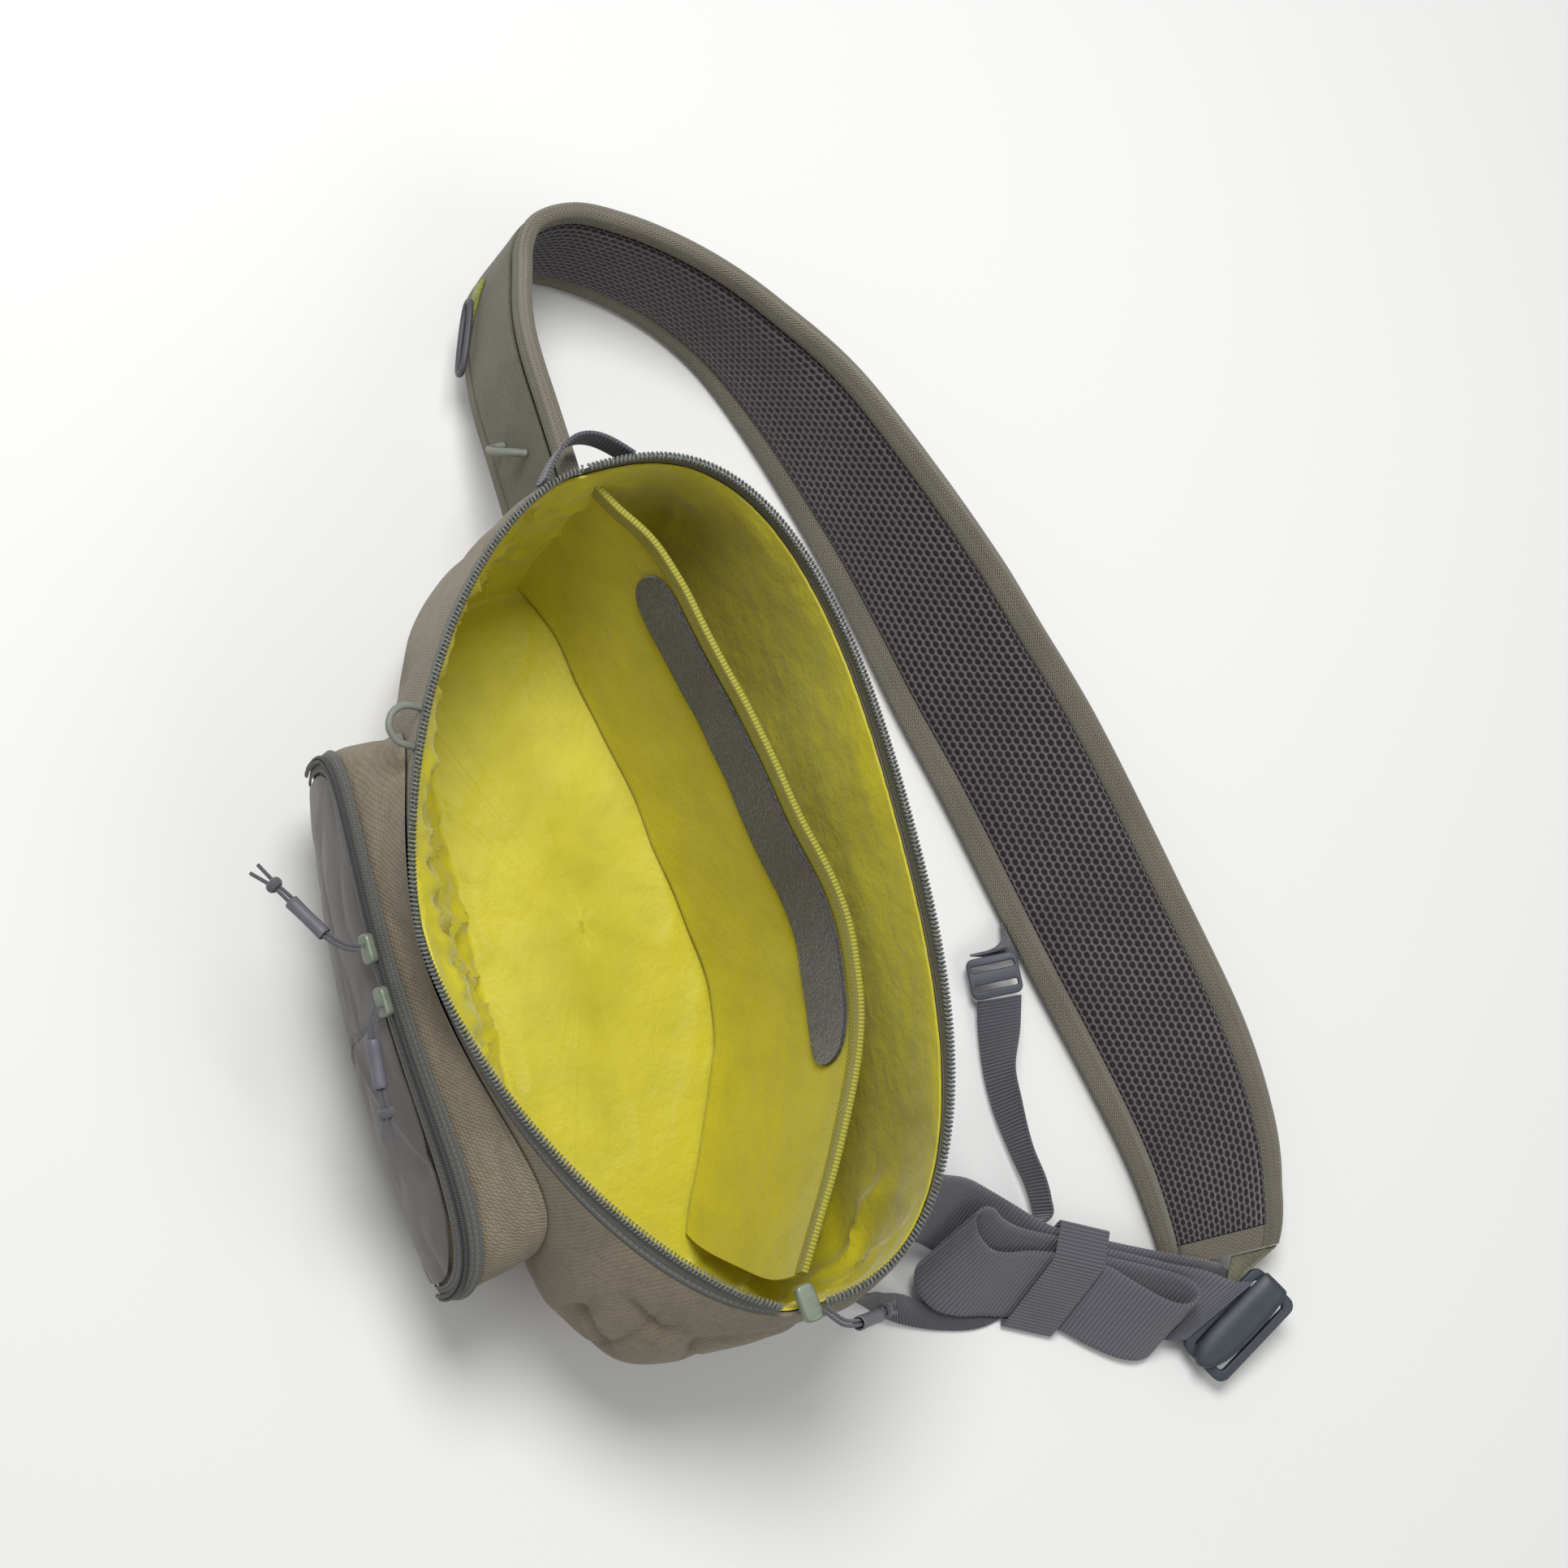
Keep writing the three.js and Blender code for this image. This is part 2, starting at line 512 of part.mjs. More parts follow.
function pocketPoint(turn, level) {
  const get = (column) => smooth(POCKET_ROWS, 'at', column, level);
  const c = Math.cos(turn);
  const s = Math.sin(turn);
  const r = rounded(c, s, c * s > 0 && c > 0 ? 3.2 : 4.2);
  const across = (c > 0 ? get('right') : get('left')) * POCKET_LENGTH;
  const top = get('top') * POCKET_HEIGHT;
  const foot = get('foot') * POCKET_HEIGHT;
  const x = pocketMiddle.x + across * c * r;
  const z = (top + foot) / 2 + (top - foot) / 2 * s * r;
  const wall = wallPoint(x, z, -1).y - 3 * GAP;
  const out = get('out');
  return new THREE.Vector3(x, wall * (1 - out) + pocketFace(x, z) * out, z);
}
const POCKET_ROWS = POCKET_LEVELS.map((row, i) => ({ ...row, at: i / (POCKET_LEVELS.length - 1) }));

const pocketTurns = steps(0, Math.PI * 2, 30).slice(0, 30);
const pocketShares = steps(0, 1, POCKET_LEVELS.length - 1);

function pocketNormal(turn, level) {
  const at = Math.min(Math.max(level, 0.01), 0.99);
  const a = pocketPoint(turn + 0.004, at).sub(pocketPoint(turn - 0.004, at));
  const b = pocketPoint(turn, at + 0.004).sub(pocketPoint(turn, at - 0.004));
  return a.cross(b).normalize();
}

// Rings of the pocket surface at an offset, at the wall held just outside the bag.
function pocketRings(levels, offset) {
  return levels.map((level) => pocketTurns.map((turn) => {
    const p = pocketPoint(turn, level).addScaledVector(pocketNormal(turn, level), offset);
    p.y = Math.min(p.y, wallPoint(p.x, p.z, -1).y - 4 * GAP);
    return p;
  }));
}

// A shell from the middle of its outer side to its edge and back to the middle inside.
function shellOf(outer, inner) {
  return skin([...outer.slice().reverse(), ...inner], outer.length);
}

add('front_pocket', shellOf(pocketRings(pocketShares, 0), pocketRings(pocketShares, -POCKET_WALL)), 0x877d69, 0.9);
const faceLevels = [3.2 / 6, 4 / 6, 5 / 6, 1];
add('front_pocket_face', shellOf(pocketRings(faceLevels, 1.6), pocketRings(faceLevels, 2 * GAP)), 0x736e6c, 0.55);

// Zip of the front pocket, over the top and down both sides.
const [zipFrom, zipTo, zipLevel] = [-Math.PI / 9, Math.PI * 10 / 9, 2.5 / 6];
add('front_pocket_tape', layer(pocketPoint, steps(zipFrom, zipTo, 22), [2.05 / 6, zipLevel, 3 / 6],
  3 * GAP, 3 * GAP + 1), 0x62625f, 0.85);
const coilCentre = (turn) => pocketPoint(turn, zipLevel).addScaledVector(pocketNormal(turn, zipLevel), 3.5);
const coilRings = steps(zipFrom + 0.06, zipTo - 0.06, 22).map((turn) => {
  const p = coilCentre(turn);
  const along = coilCentre(turn + 0.01).sub(coilCentre(turn - 0.01)).normalize();
  const out = pocketNormal(turn, zipLevel);
  const side = new THREE.Vector3().crossVectors(out, along).normalize();
  return steps(0, Math.PI * 2, 6).slice(0, 6).map((a) => p.clone()
    .addScaledVector(side, 2 * Math.cos(a)).addScaledVector(out, Math.sin(a)));
});
add('front_pocket_coil', skin(coilRings), 0x565a58, 0.5);

// Padded back panel
const panelPoint = (u, v) => wallPoint((u - 0.5) * BAG_LENGTH * 0.72, RIM_BACK_HEIGHT * (0.06 + 0.84 * v), 1);
const puff = (u, v) => {
  const e = Math.min(u, 1 - u) * 7;
  const f = Math.min(v, 1 - v) * 5;
  return 4 + (PANEL_THICK - 4) * Math.min(1, e) ** 0.5 * Math.min(1, f) ** 0.5;
};
add('back_panel', layer(panelPoint, steps(0, 1, 16), steps(0, 1, 7), (u, v) => -puff(u, v), -4 * GAP),
  0x7d7a87, 0.95);

// Shoulder strap
const strapRows = STRAP_ROUTE.map((row, i) => ({ ...row, at: i / (STRAP_ROUTE.length - 1) }));

function strapFrame(u) {
  const at = (place) => {
    const get = (column) => smooth(strapRows, 'at', column, Math.min(Math.max(place, 0), 1));
    return new THREE.Vector3(get('x') * BAG_LENGTH / 2, get('y') * BAG_DEPTH, get('z') * STRAP_WIDTH);
  };
  const foot = at(u);
  const along = at(u + 0.004).sub(at(u - 0.004));
  along.z = 0;
  along.normalize();
  const skew = smooth(strapRows, 'at', 'skew', u) * Math.PI / 180;
  const outward = new THREE.Vector3(-along.y, along.x, 0).applyAxisAngle(UP, skew);
  const lean = smooth(strapRows, 'at', 'lean', u) * Math.PI / 180;
  const rise = new THREE.Vector3(0, 0, Math.cos(lean)).addScaledVector(outward, Math.sin(lean));
  foot.z += STRAP_THICK / 2 * Math.abs(Math.sin(lean)) + 0.4;
  return { foot, rise, width: smooth(strapRows, 'at', 'width', u) * STRAP_WIDTH };
}

// Middle surface of the strap: u runs from the bag to the buckle, v from foot to top edge.
function strapPoint(u, v) {
  const { foot, rise, width } = strapFrame(u);
  const p = foot.addScaledVector(rise, width * v);
  if (u < 0.1) {
    const wall = endWall(p.y, p.z, -1).x - 3 * GAP;
    const start = strapFrame(0).foot.x;
    p.x += (wall - start) * (1 - u / 0.1);
  }
  return p;
}

const edgeShare = STRAP_BINDING / STRAP_WIDTH;
const strapEnd = 0.972;
const strapUs = steps(0, strapEnd, 34);
const puffed = (v) => Math.min(1, Math.min(v - edgeShare, 1 - edgeShare - v) * 9 + 0.6);
const strapVs = [edgeShare + 0.008, 0.3, 0.5, 0.7, 1 - edgeShare - 0.008];
const faceLow = -STRAP_THICK / 2;
const faceHigh = faceLow + STRAP_FACE;
add('strap_mesh', layer(strapPoint, strapUs, strapVs, faceHigh + 2 * GAP, (u, v) => STRAP_THICK / 2 * puffed(v)),
  0x4c464a, 0.9);
add('strap_face', layer(strapPoint, strapUs, strapVs, faceLow, faceHigh), 0x7b7b66, 0.9);

function strapNormal(u, v) {
  const a = strapPoint(Math.min(u + 0.002, 1), v).sub(strapPoint(Math.max(u - 0.002, 0), v));
  const b = strapPoint(u, v + 0.01).sub(strapPoint(u, v - 0.01));
  return a.cross(b).normalize();
}

// Taped edge: an oval bead at v = middle, half a binding either way.
function bindingBead(middle) {
  const half = edgeShare / 2;
  return skin(steps(0, 1, 34).map((u) => steps(0, Math.PI * 2, 8).slice(0, 8).map((turn) => {
    const r = rounded(Math.cos(turn), Math.sin(turn), 3.5);
    const v = middle + half * Math.cos(turn) * r;
    return strapPoint(u, v).addScaledVector(strapNormal(u, middle), (STRAP_THICK / 2 - 0.8) * Math.sin(turn) * r);
  })));
}
add('strap_binding_lower', bindingBead(edgeShare / 2), 0x8c8473, 0.9);
add('strap_binding_upper', bindingBead(1 - edgeShare / 2), 0x8c8473, 0.9);
add('strap_binding_end', layer(strapPoint, [strapEnd + 0.004, 1], [strapVs[0] + 0.01, 0.5, strapVs[4] - 0.01],
  0.8 - STRAP_THICK / 2, STRAP_THICK / 2 - 0.8), 0x8c8473, 0.9);

// Webbings: u runs along the route, v from the lower to the upper edge.
function ribbon(rows, width) {
  const table = rows.map((row, i) => ({ ...row, at: i / (rows.length - 1) }));
  return (u, v) => {
    const place = Math.min(Math.max(u, 0), 1);
    const get = (column) => smooth(table, 'at', column, place);
    const lean = get('lean') * Math.PI / 180;
    const heading = get('heading') * Math.PI / 180;
    const foot = new THREE.Vector3(get('x') * BAG_LENGTH / 2, get('y') * BAG_DEPTH, get('z') * WEBBING_WIDTH);
    const side = Math.sin(lean) * width * v;
    return foot.add(new THREE.Vector3(side * Math.cos(heading), side * Math.sin(heading),
      Math.cos(lean) * width * v));
  };
}

const wide = ribbon(WEBBING_ROUTE, WEBBING_WIDTH);
const folded = ribbon(SURPLUS_ROUTE, WEBBING_WIDTH);
const thin = ribbon(THIN_ROUTE, THIN_WIDTH);
add('webbing_main', layer(wide, steps(0, 1, 24), [0, 1], -WEBBING_THICK / 2, WEBBING_THICK / 2), 0x55555f, 0.8);
add('webbing_surplus', layer(folded, steps(0, 1, 50), [0, 1], -WEBBING_THICK / 2, WEBBING_THICK / 2), 0x5a5a64, 0.8);
add('stabiliser_webbing', layer(thin, steps(0, 1, 40), [0, 1], -THIN_THICK / 2, THIN_THICK / 2), 0x5a5b66, 0.8);

// Elastic keeper round the folds: a sleeve about the four layers of webbing.
const keeperPlace = 0.494;
const keeperAxis = wide(keeperPlace + 0.02, 0).sub(wide(keeperPlace - 0.02, 0)).setZ(0).normalize();
const keeperRise = wide(keeperPlace, 1).sub(wide(keeperPlace, 0)).normalize();
const keeperOut = new THREE.Vector3(keeperAxis.y, -keeperAxis.x, 0);
const keeperCentre = wide(keeperPlace, 0.5).addScaledVector(keeperOut, KEEPER_STACK / 2)
  .addScaledVector(UP, GAP);
const keeperSurface = (turn, v) => {
  const r = rounded(Math.cos(turn), Math.sin(turn), 9);
  return keeperCentre.clone()
    .addScaledVector(keeperOut, (KEEPER_STACK / 2 + KEEPER_EASE) * Math.cos(turn) * r)
    .addScaledVector(keeperRise, (WEBBING_WIDTH / 2 + KEEPER_RISE) * Math.sin(turn) * r)
    .addScaledVector(keeperAxis, (v - 0.5) * KEEPER_WIDTH);
};
add('webbing_keeper', layer(keeperSurface, steps(0, Math.PI * 2, 32).slice(0, 32), [0, 1],
  -KEEPER_THICK / 2, KEEPER_THICK / 2, true),
  0x55555c, 0.9);

// Sets a piece built in its own frame at a place, by its x axis and its upward side.
function place(mesh, origin, along, up) {
  const x = along.clone().normalize();
  const y = new THREE.Vector3().crossVectors(up, x).normalize();
  const z = new THREE.Vector3().crossVectors(x, y);
  mesh.quaternion.setFromRotationMatrix(new THREE.Matrix4().makeBasis(x, y, z));
  mesh.position.copy(origin);
  return mesh;
}

function plate(shape, thick, bevel = 0.6) {
  const body = new THREE.ExtrudeGeometry(shape, {
    depth: thick - 2 * bevel,
    bevelEnabled: bevel > 0,
    bevelThickness: bevel,
    bevelSize: bevel,
    bevelOffset: -bevel,
    bevelSegments: 1,
    curveSegments: 2,
  });
  return body.translate(0, 0, -thick / 2 + bevel);
}

function roundedBox(length, width, corner) {
  const [a, b] = [length / 2, width / 2];
  const shape = new THREE.Shape();
  shape.moveTo(-a + corner, -b);
  shape.lineTo(a - corner, -b);
  shape.absarc(a - corner, -b + corner, corner, -Math.PI / 2, 0);
  shape.absarc(a - corner, b - corner, corner, 0, Math.PI / 2);
  shape.absarc(-a + corner, b - corner, corner, Math.PI / 2, Math.PI);
  shape.absarc(-a + corner, -b + corner, corner, Math.PI, Math.PI * 1.5);
  return shape;
}

// Main slider on the closed end of the zip, and the sliders of the front pocket.
const sliderShape = roundedBox(SLIDER_LENGTH, SLIDER_LENGTH * 0.62, SLIDER_LENGTH * 0.22);
const rimTip = rimPoint(0, 0, WALL / 2);
const mainSlider = add('main_slider', plate(sliderShape, MAIN_SLIDER_THICK, 1.5), 0x8c9687, 0.45);
const sliderLift = 2 * COIL_RADIUS + 3 * GAP;
place(mainSlider, rimTip.clone().add(new THREE.Vector3(-2, 0, sliderLift)),
  new THREE.Vector3(1, 0.1, 0.05), new THREE.Vector3(0, 0, 1));

function turnAt(x) {
  let [low, high] = [0.3, Math.PI - 0.3];
  for (let i = 0; i < 30; i += 1) {
    const middle = (low + high) / 2;
    if (pocketPoint(middle, zipLevel).x > x) low = middle;
    else high = middle;
  }
  return (low + high) / 2;
}

const sliderPlaces = { a: -0.004 * BAG_LENGTH, b: 0.052 * BAG_LENGTH };
const sliderFrames = {};
for (const [key, x] of Object.entries(sliderPlaces)) {
  const turn = turnAt(x);
  const out = pocketNormal(turn, zipLevel);
  const along = coilCentre(turn + 0.02).sub(coilCentre(turn - 0.02)).normalize();
  const centre = coilCentre(turn).addScaledVector(out, 1 + 2.5 + GAP);
  sliderFrames[key] = { centre, along, out };
  const slider = add(`pocket_slider_${key}`, plate(roundedBox(POCKET_SLIDER_LENGTH, POCKET_SLIDER_WIDTH, 3),
    POCKET_SLIDER_THICK, 1), 0x8c9687, 0.45);
  place(slider, centre, along, out);
}


// Pull cords: two strands from each slider through a sleeve and a knot to their loose ends.
// Each point is a step along, out and up from the slider, in millimetres.
const PULL_ROUTES = {
  a: [[-1, 0.6, 0], [-4, 7, -3], [-10, 13, -5], [-22, 20, -9], [-34, 26, -13], [-42, 31, -15], [-52, 38, -18]],
  b: [[1.2, 0.9, 0], [8, 5, 0], [14, 6, -1], [28, 7, -2], [42, 8, -3], [52, 8, -4], [64, 9, -5]],
  m: [[4.9, 2.2, 0.1], [13, 9, 0], [16, 17, -5], [17, 27, -14], [17, 36, -24], [17, 42, -31], [18, 52, -42]],
};
const STRAND_SIDE = CORD_RADIUS + 0.15;

function cordAlong(route) {
  const curve = new THREE.CatmullRomCurve3(route, false, 'centripetal');
  const outline = roundOutline(CORD_RADIUS, 8);
  const count = Math.ceil(curve.getLength() / (6 * CORD_RADIUS));
  return new THREE.ExtrudeGeometry(outline, { steps: count, extrudePath: curve, bevelEnabled: false });
}

function sleeve(inner, outer, length) {
  const half = length / 2;
  const profile = [[inner, -half], [outer - 0.4, -half], [outer, 0.4 - half], [outer, half - 0.4],
    [outer - 0.4, half], [inner, half], [inner, -half]].map(([x, y]) => new THREE.Vector2(x, y));
  return new THREE.LatheGeometry(profile, 12).rotateZ(-Math.PI / 2);
}

for (const [key, points] of Object.entries(PULL_ROUTES)) {
  const from = key === 'm' ? mainSlider.position.clone().add(new THREE.Vector3(0, 4, 4.6))
    : sliderFrames[key].centre.clone().addScaledVector(sliderFrames[key].out, 3.6);
  const outSign = key === 'm' ? 1 : -1;
  const route = points.map(([x, y, z]) => from.clone().add(new THREE.Vector3(x, outSign * y, z)));
  const middle = new THREE.CatmullRomCurve3(route, false, 'centripetal');
  for (const [number, side] of [[1, -1], [2, 1]]) {
    const strand = route.map((p, i) => {
      const t = middle.getTangent(i / (route.length - 1));
      const across = new THREE.Vector3().crossVectors(t, UP).normalize();
      const spread = i === route.length - 1 ? 2.4 : 1;
      return p.clone().addScaledVector(across, side * STRAND_SIDE * spread);
    });
    add(`pull_cord_${key}${number}`, cordAlong(strand), 0x66666a, 0.9);
  }
  const tube = add(`pull_sleeve_${key}`, sleeve(2 * CORD_RADIUS + 1, 2 * CORD_RADIUS + 1.7, 24), 0x65656c, 0.6);
  place(tube, route[3], route[4].clone().sub(route[2]), UP);
  const knot = add(`pull_knot_${key}`, sleeve(2 * CORD_RADIUS + 0.8, 2 * CORD_RADIUS + 2, 5), 0x5f5f64, 0.9);
  place(knot, route[5], route[5].clone().sub(route[4]), UP);
}

// Buckle at the end of the strap: a frame with two slots and a long lever over it.
const BUCKLE_WIDTH = 64;
const BUCKLE_DEPTH = 34;
const buckleAcross = new THREE.Vector3(-0.505, 0.825, 0.252).normalize();
const buckleTravel = new THREE.Vector3(0.85, 0.51, 0.03).normalize();
const buckleUp = new THREE.Vector3().crossVectors(buckleTravel, buckleAcross).normalize();
const buckleCentre = new THREE.Vector3(0.667 * BAG_LENGTH, 1.593 * BAG_DEPTH, 21);

function slotted(length, width, slotLength, slotWidth, spread) {
  const shape = roundedBox(length, width, width * 0.14);
  for (const side of [-1, 1]) {
    const slot = roundedBox(slotLength, slotWidth, slotWidth * 0.2);
    shape.holes.push(new THREE.Path(slot.getPoints(2).map((p) => new THREE.Vector2(p.x, p.y + side * spread))));
  }
  return shape;
}

const frameShape = slotted(BUCKLE_WIDTH, BUCKLE_DEPTH, BUCKLE_WIDTH - 12, BUCKLE_DEPTH * 0.24, BUCKLE_DEPTH * 0.22);
place(add('buckle_frame', plate(frameShape, 5, 0), 0x3c424b, 0.5), buckleCentre, buckleAcross, buckleUp);

// Section of the lever across the buckle, above the frame's top face.
const LEVER_SECTION = [[-0.32, 0.6], [-0.34, 2.4], [-0.2, 5.4], [0.08, 6.6], [0.32, 5.4], [0.42, 3], [0.42, 0.6],
  [0.3, 1.4], [0, 2], [-0.2, 1.4]];
const leverShape = new THREE.Shape(LEVER_SECTION.map(([x, y]) => new THREE.Vector2(-x * BUCKLE_DEPTH, y)));
const lever = new THREE.ExtrudeGeometry(leverShape, { depth: BUCKLE_WIDTH + 2, bevelEnabled: false })
  .translate(0, 0, -BUCKLE_WIDTH / 2 - 1).rotateX(Math.PI / 2).rotateZ(Math.PI / 2);
place(add('buckle_lever', lever, 0x3c424b, 0.45), buckleCentre.clone().addScaledVector(buckleUp, 2.5),
  buckleAcross, buckleUp);

// Tab from the strap to the buckle.
const tabFrom = (v) => strapPoint(1, 0.58 + 0.38 * v).addScaledVector(buckleTravel, 1.6);
const tabTo = (v) => buckleCentre.clone().addScaledVector(buckleTravel, -BUCKLE_DEPTH / 2 - 1.3)
  .addScaledVector(buckleAcross, 7 + v * 22);
add('strap_end_tab', layer((u, v) => tabFrom(v).lerp(tabTo(v), u), [0, 0.5, 1], [0, 0.5, 1], -1, 1), 0x77745c, 0.9);

// Tab on the outer face of the strap, the ring that hangs in it and the moulded arch above.
const onStrap = (u, v, lift) => strapPoint(u, v).addScaledVector(strapNormal(u, v), -STRAP_THICK / 2 - lift);
const tabSurface = (a, b) => strapPoint(0.225 - 0.06 * a, 0.4 - 0.24 * a + (b - 0.5) * 0.13);
const tabFoot = STRAP_THICK / 2 + GAP;
add('strap_tab', layer(tabSurface, steps(0, 1, 4), [0, 1], tabFoot, tabFoot + 2), 0xa5aa4b, 0.8);
const ringFar = onStrap(0.2, 0.33, 4.95);
const ringNear = onStrap(0.125, 0.12, 4.95);
const ringAlong = ringNear.clone().sub(ringFar).normalize();
const ringUp = strapNormal(0.16, 0.25).negate();
const ringSide = new THREE.Vector3().crossVectors(ringUp, ringAlong).normalize();
const ringCentre = ringNear.clone().add(ringFar).multiplyScalar(0.5);
const ringSurface = (turn, v) => {
  const r = rounded(Math.cos(turn), Math.sin(turn), 2.8);
  return ringCentre.clone().addScaledVector(ringAlong, 21 * Math.cos(turn) * r)
    .addScaledVector(ringSide, 7 * Math.sin(turn) * r).addScaledVector(ringUp, (v - 0.5) * 3.4);
};
add('gear_ring', layer(ringSurface, steps(0, Math.PI * 2, 24).slice(0, 24), [0, 1], -1.7, 1.7, true), 0x62606b, 0.5);
const archRoute = [[0.052, 0.36, 0.4], [0.05, 0.37, 7], [0.046, 0.44, 12], [0.04, 0.54, 12], [0.036, 0.61, 7],
  [0.034, 0.62, 0.4]].map(([u, v, lift]) => onStrap(u, v, lift + GAP));
add('cord_arch', bar(archRoute, 2.2), 0x7d8578, 0.5);

// Lock of the thin webbing with the short tab that sews it to the strap.
const lockAcross = new THREE.Vector3(0.05, 0.93, 0.36).normalize();
const lockTravel = new THREE.Vector3(-1, 0.05, 0.02).normalize();
const lockUp = new THREE.Vector3().crossVectors(lockAcross, lockTravel).normalize();
const lockCentre = thin(0, 0.5).addScaledVector(lockTravel, 13.1);
const lockPlate = plate(slotted(LOCK_WIDTH, LOCK_LENGTH, LOCK_WIDTH - 5, 3.6, 5.5), LOCK_THICK, 0);
place(add('small_lock', lockPlate, 0x4a4d58, 0.5), lockCentre, lockAcross, lockUp);
const lockEdge = (v) => lockCentre.clone().addScaledVector(lockTravel, LOCK_LENGTH / 2 + 2.4)
  .addScaledVector(lockAcross, (v - 0.5) * 22);
let [lockLow, lockHigh] = [0.5, 0.98];
for (let i = 0; i < 30; i += 1) {
  const middle = (lockLow + lockHigh) / 2;
  if (strapPoint(middle, 0).x < lockCentre.x - 6) lockLow = middle;
  else lockHigh = middle;
}
const lockSeat = (v) => strapPoint(lockLow - 0.012 * v, 0).add(new THREE.Vector3(0, -1.4, 1));
add('lock_tab', layer((u, v) => lockEdge(v).lerp(lockSeat(v), u), [0, 0.5, 1], [0, 0.5, 1], -0.8, 0.8), 0x4e505a, 0.9);

// Small moulded loop on the front wall, above the pocket.
const loopRoute = [[-0.188, 0, 0.960], [-0.19, 8, 0.975], [-0.2, 13, 0.985], [-0.214, 13, 0.985], [-0.224, 8, 0.975],
  [-0.226, 0, 0.960]].map(([x, out, z]) => wallPoint(x * BAG_LENGTH, z * RIM_FRONT_HEIGHT, -1)
  .add(new THREE.Vector3(-out * 0.4, -out - 0.5, 0)));
add('tool_loop', bar(loopRoute, 1.8), 0x7d8578, 0.5);

// Grab handle: a webbing arc behind the far end of the zip.
const HANDLE_HEIGHT = 20;
const handleSurface = (u, v) => {
  const y = (0.2 - 0.24 * u) * BAG_DEPTH;
  const z = RIM_END_HEIGHT - 14 + v * HANDLE_HEIGHT;
  return endWall(y, Math.min(z, RIM_END_HEIGHT - 6), -1).setZ(z)
    .add(new THREE.Vector3(-1.3 - 14 * Math.sin(Math.PI * u), 0, 0));
};
add('grab_handle', layer(handleSurface, steps(0, 1, 12), [0, 1], -1, 1), 0x55555c, 0.9);

export default group;
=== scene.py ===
import math
import bmesh
import bpy
import numpy as np
from mathutils import Matrix, Vector, noise


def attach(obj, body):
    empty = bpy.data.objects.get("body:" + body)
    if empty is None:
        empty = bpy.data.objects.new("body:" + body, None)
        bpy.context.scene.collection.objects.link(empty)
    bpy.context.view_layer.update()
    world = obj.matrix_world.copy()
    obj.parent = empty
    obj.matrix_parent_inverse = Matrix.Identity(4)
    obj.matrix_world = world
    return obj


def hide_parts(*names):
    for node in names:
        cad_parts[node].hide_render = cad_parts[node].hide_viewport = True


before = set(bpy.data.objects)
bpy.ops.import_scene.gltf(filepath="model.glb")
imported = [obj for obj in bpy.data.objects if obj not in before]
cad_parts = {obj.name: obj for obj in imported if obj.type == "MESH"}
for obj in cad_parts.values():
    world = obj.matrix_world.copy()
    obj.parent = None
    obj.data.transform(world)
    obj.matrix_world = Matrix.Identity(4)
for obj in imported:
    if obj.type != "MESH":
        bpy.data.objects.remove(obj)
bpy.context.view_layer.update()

# Sizes of the bag in millimetres: X along the bag, -Y the pocket side, +Z up.
BAG_LENGTH = 474
BAG_DEPTH = 200
RIM_END_HEIGHT = 188
RIM_FRONT_HEIGHT = 192
RIM_BACK_HEIGHT = 229
WALL = 2
GAP = 0.3
LINING_WALL = 1.2
TAPE_HEIGHT = 8
TAPE_THICK = 1.2
COIL_RADIUS = 2.3
SLIDER_LENGTH = 19
DIVIDER_HEIGHT = 166
DIVIDER_THICK = 1.4
BINDING_HEIGHT = 11
LOOP_STRIP_HEIGHT = 46
LOOP_STRIP_DROP = 3
POCKET_LENGTH = 302
POCKET_HEIGHT = 168
POCKET_OUT = 149
POCKET_WALL = 1.6
PANEL_THICK = 13
STRAP_WIDTH = 105
STRAP_THICK = 11
STRAP_BINDING = 16
STRAP_FACE = 2.4
WEBBING_WIDTH = 50
WEBBING_THICK = 1.9
THIN_WIDTH = 25
THIN_THICK = 1.8
CORD_RADIUS = 1
KEEPER_WIDTH = 30
KEEPER_STACK = 12.8
KEEPER_EASE = 5.2
KEEPER_RISE = 3.6
KEEPER_THICK = 1
LOCK_WIDTH = 30
LOCK_LENGTH = 24
LOCK_THICK = 5
POCKET_SLIDER_LENGTH = 15
POCKET_SLIDER_WIDTH = 10
POCKET_SLIDER_THICK = 5
MAIN_SLIDER_THICK = 7
BUCKLE_WIDTH = 64
BUCKLE_DEPTH = 34
HANDLE_HEIGHT = 20


def rows(keys, data):
    """A table as columns by name."""
    return {k: np.array([r[i] for r in data], float) for i, k in enumerate(keys.split())}


BODY_LEVELS = rows("height far near front back shift ff fn bf bn", [
    (0.00, 0.78, 0.80, 0.58, 0.68, 0.00, 4.0, 4.0, 4.0, 4.0),
    (0.03, 0.83, 0.86, 0.68, 0.76, 0.00, 3.4, 4.0, 4.0, 4.0),
    (0.12, 0.86, 0.91, 0.80, 0.85, 0.00, 2.7, 4.2, 4.2, 4.2),
    (0.30, 0.88, 0.96, 0.93, 0.97, 0.00, 2.2, 4.2, 4.4, 4.4),
    (0.50, 0.89, 1.00, 1.04, 1.06, 0.02, 2.0, 4.2, 4.2, 4.2),
    (0.70, 0.89, 0.99, 1.16, 1.12, 0.06, 1.9, 3.0, 3.8, 3.6),
    (0.85, 0.89, 0.965, 1.28, 1.15, 0.10, 1.8, 2.1, 3.2, 3.0),
    (1.00, 0.88, 0.93, 1.41, 1.165, 0.14, 1.65, 1.5, 2.8, 2.5),
])

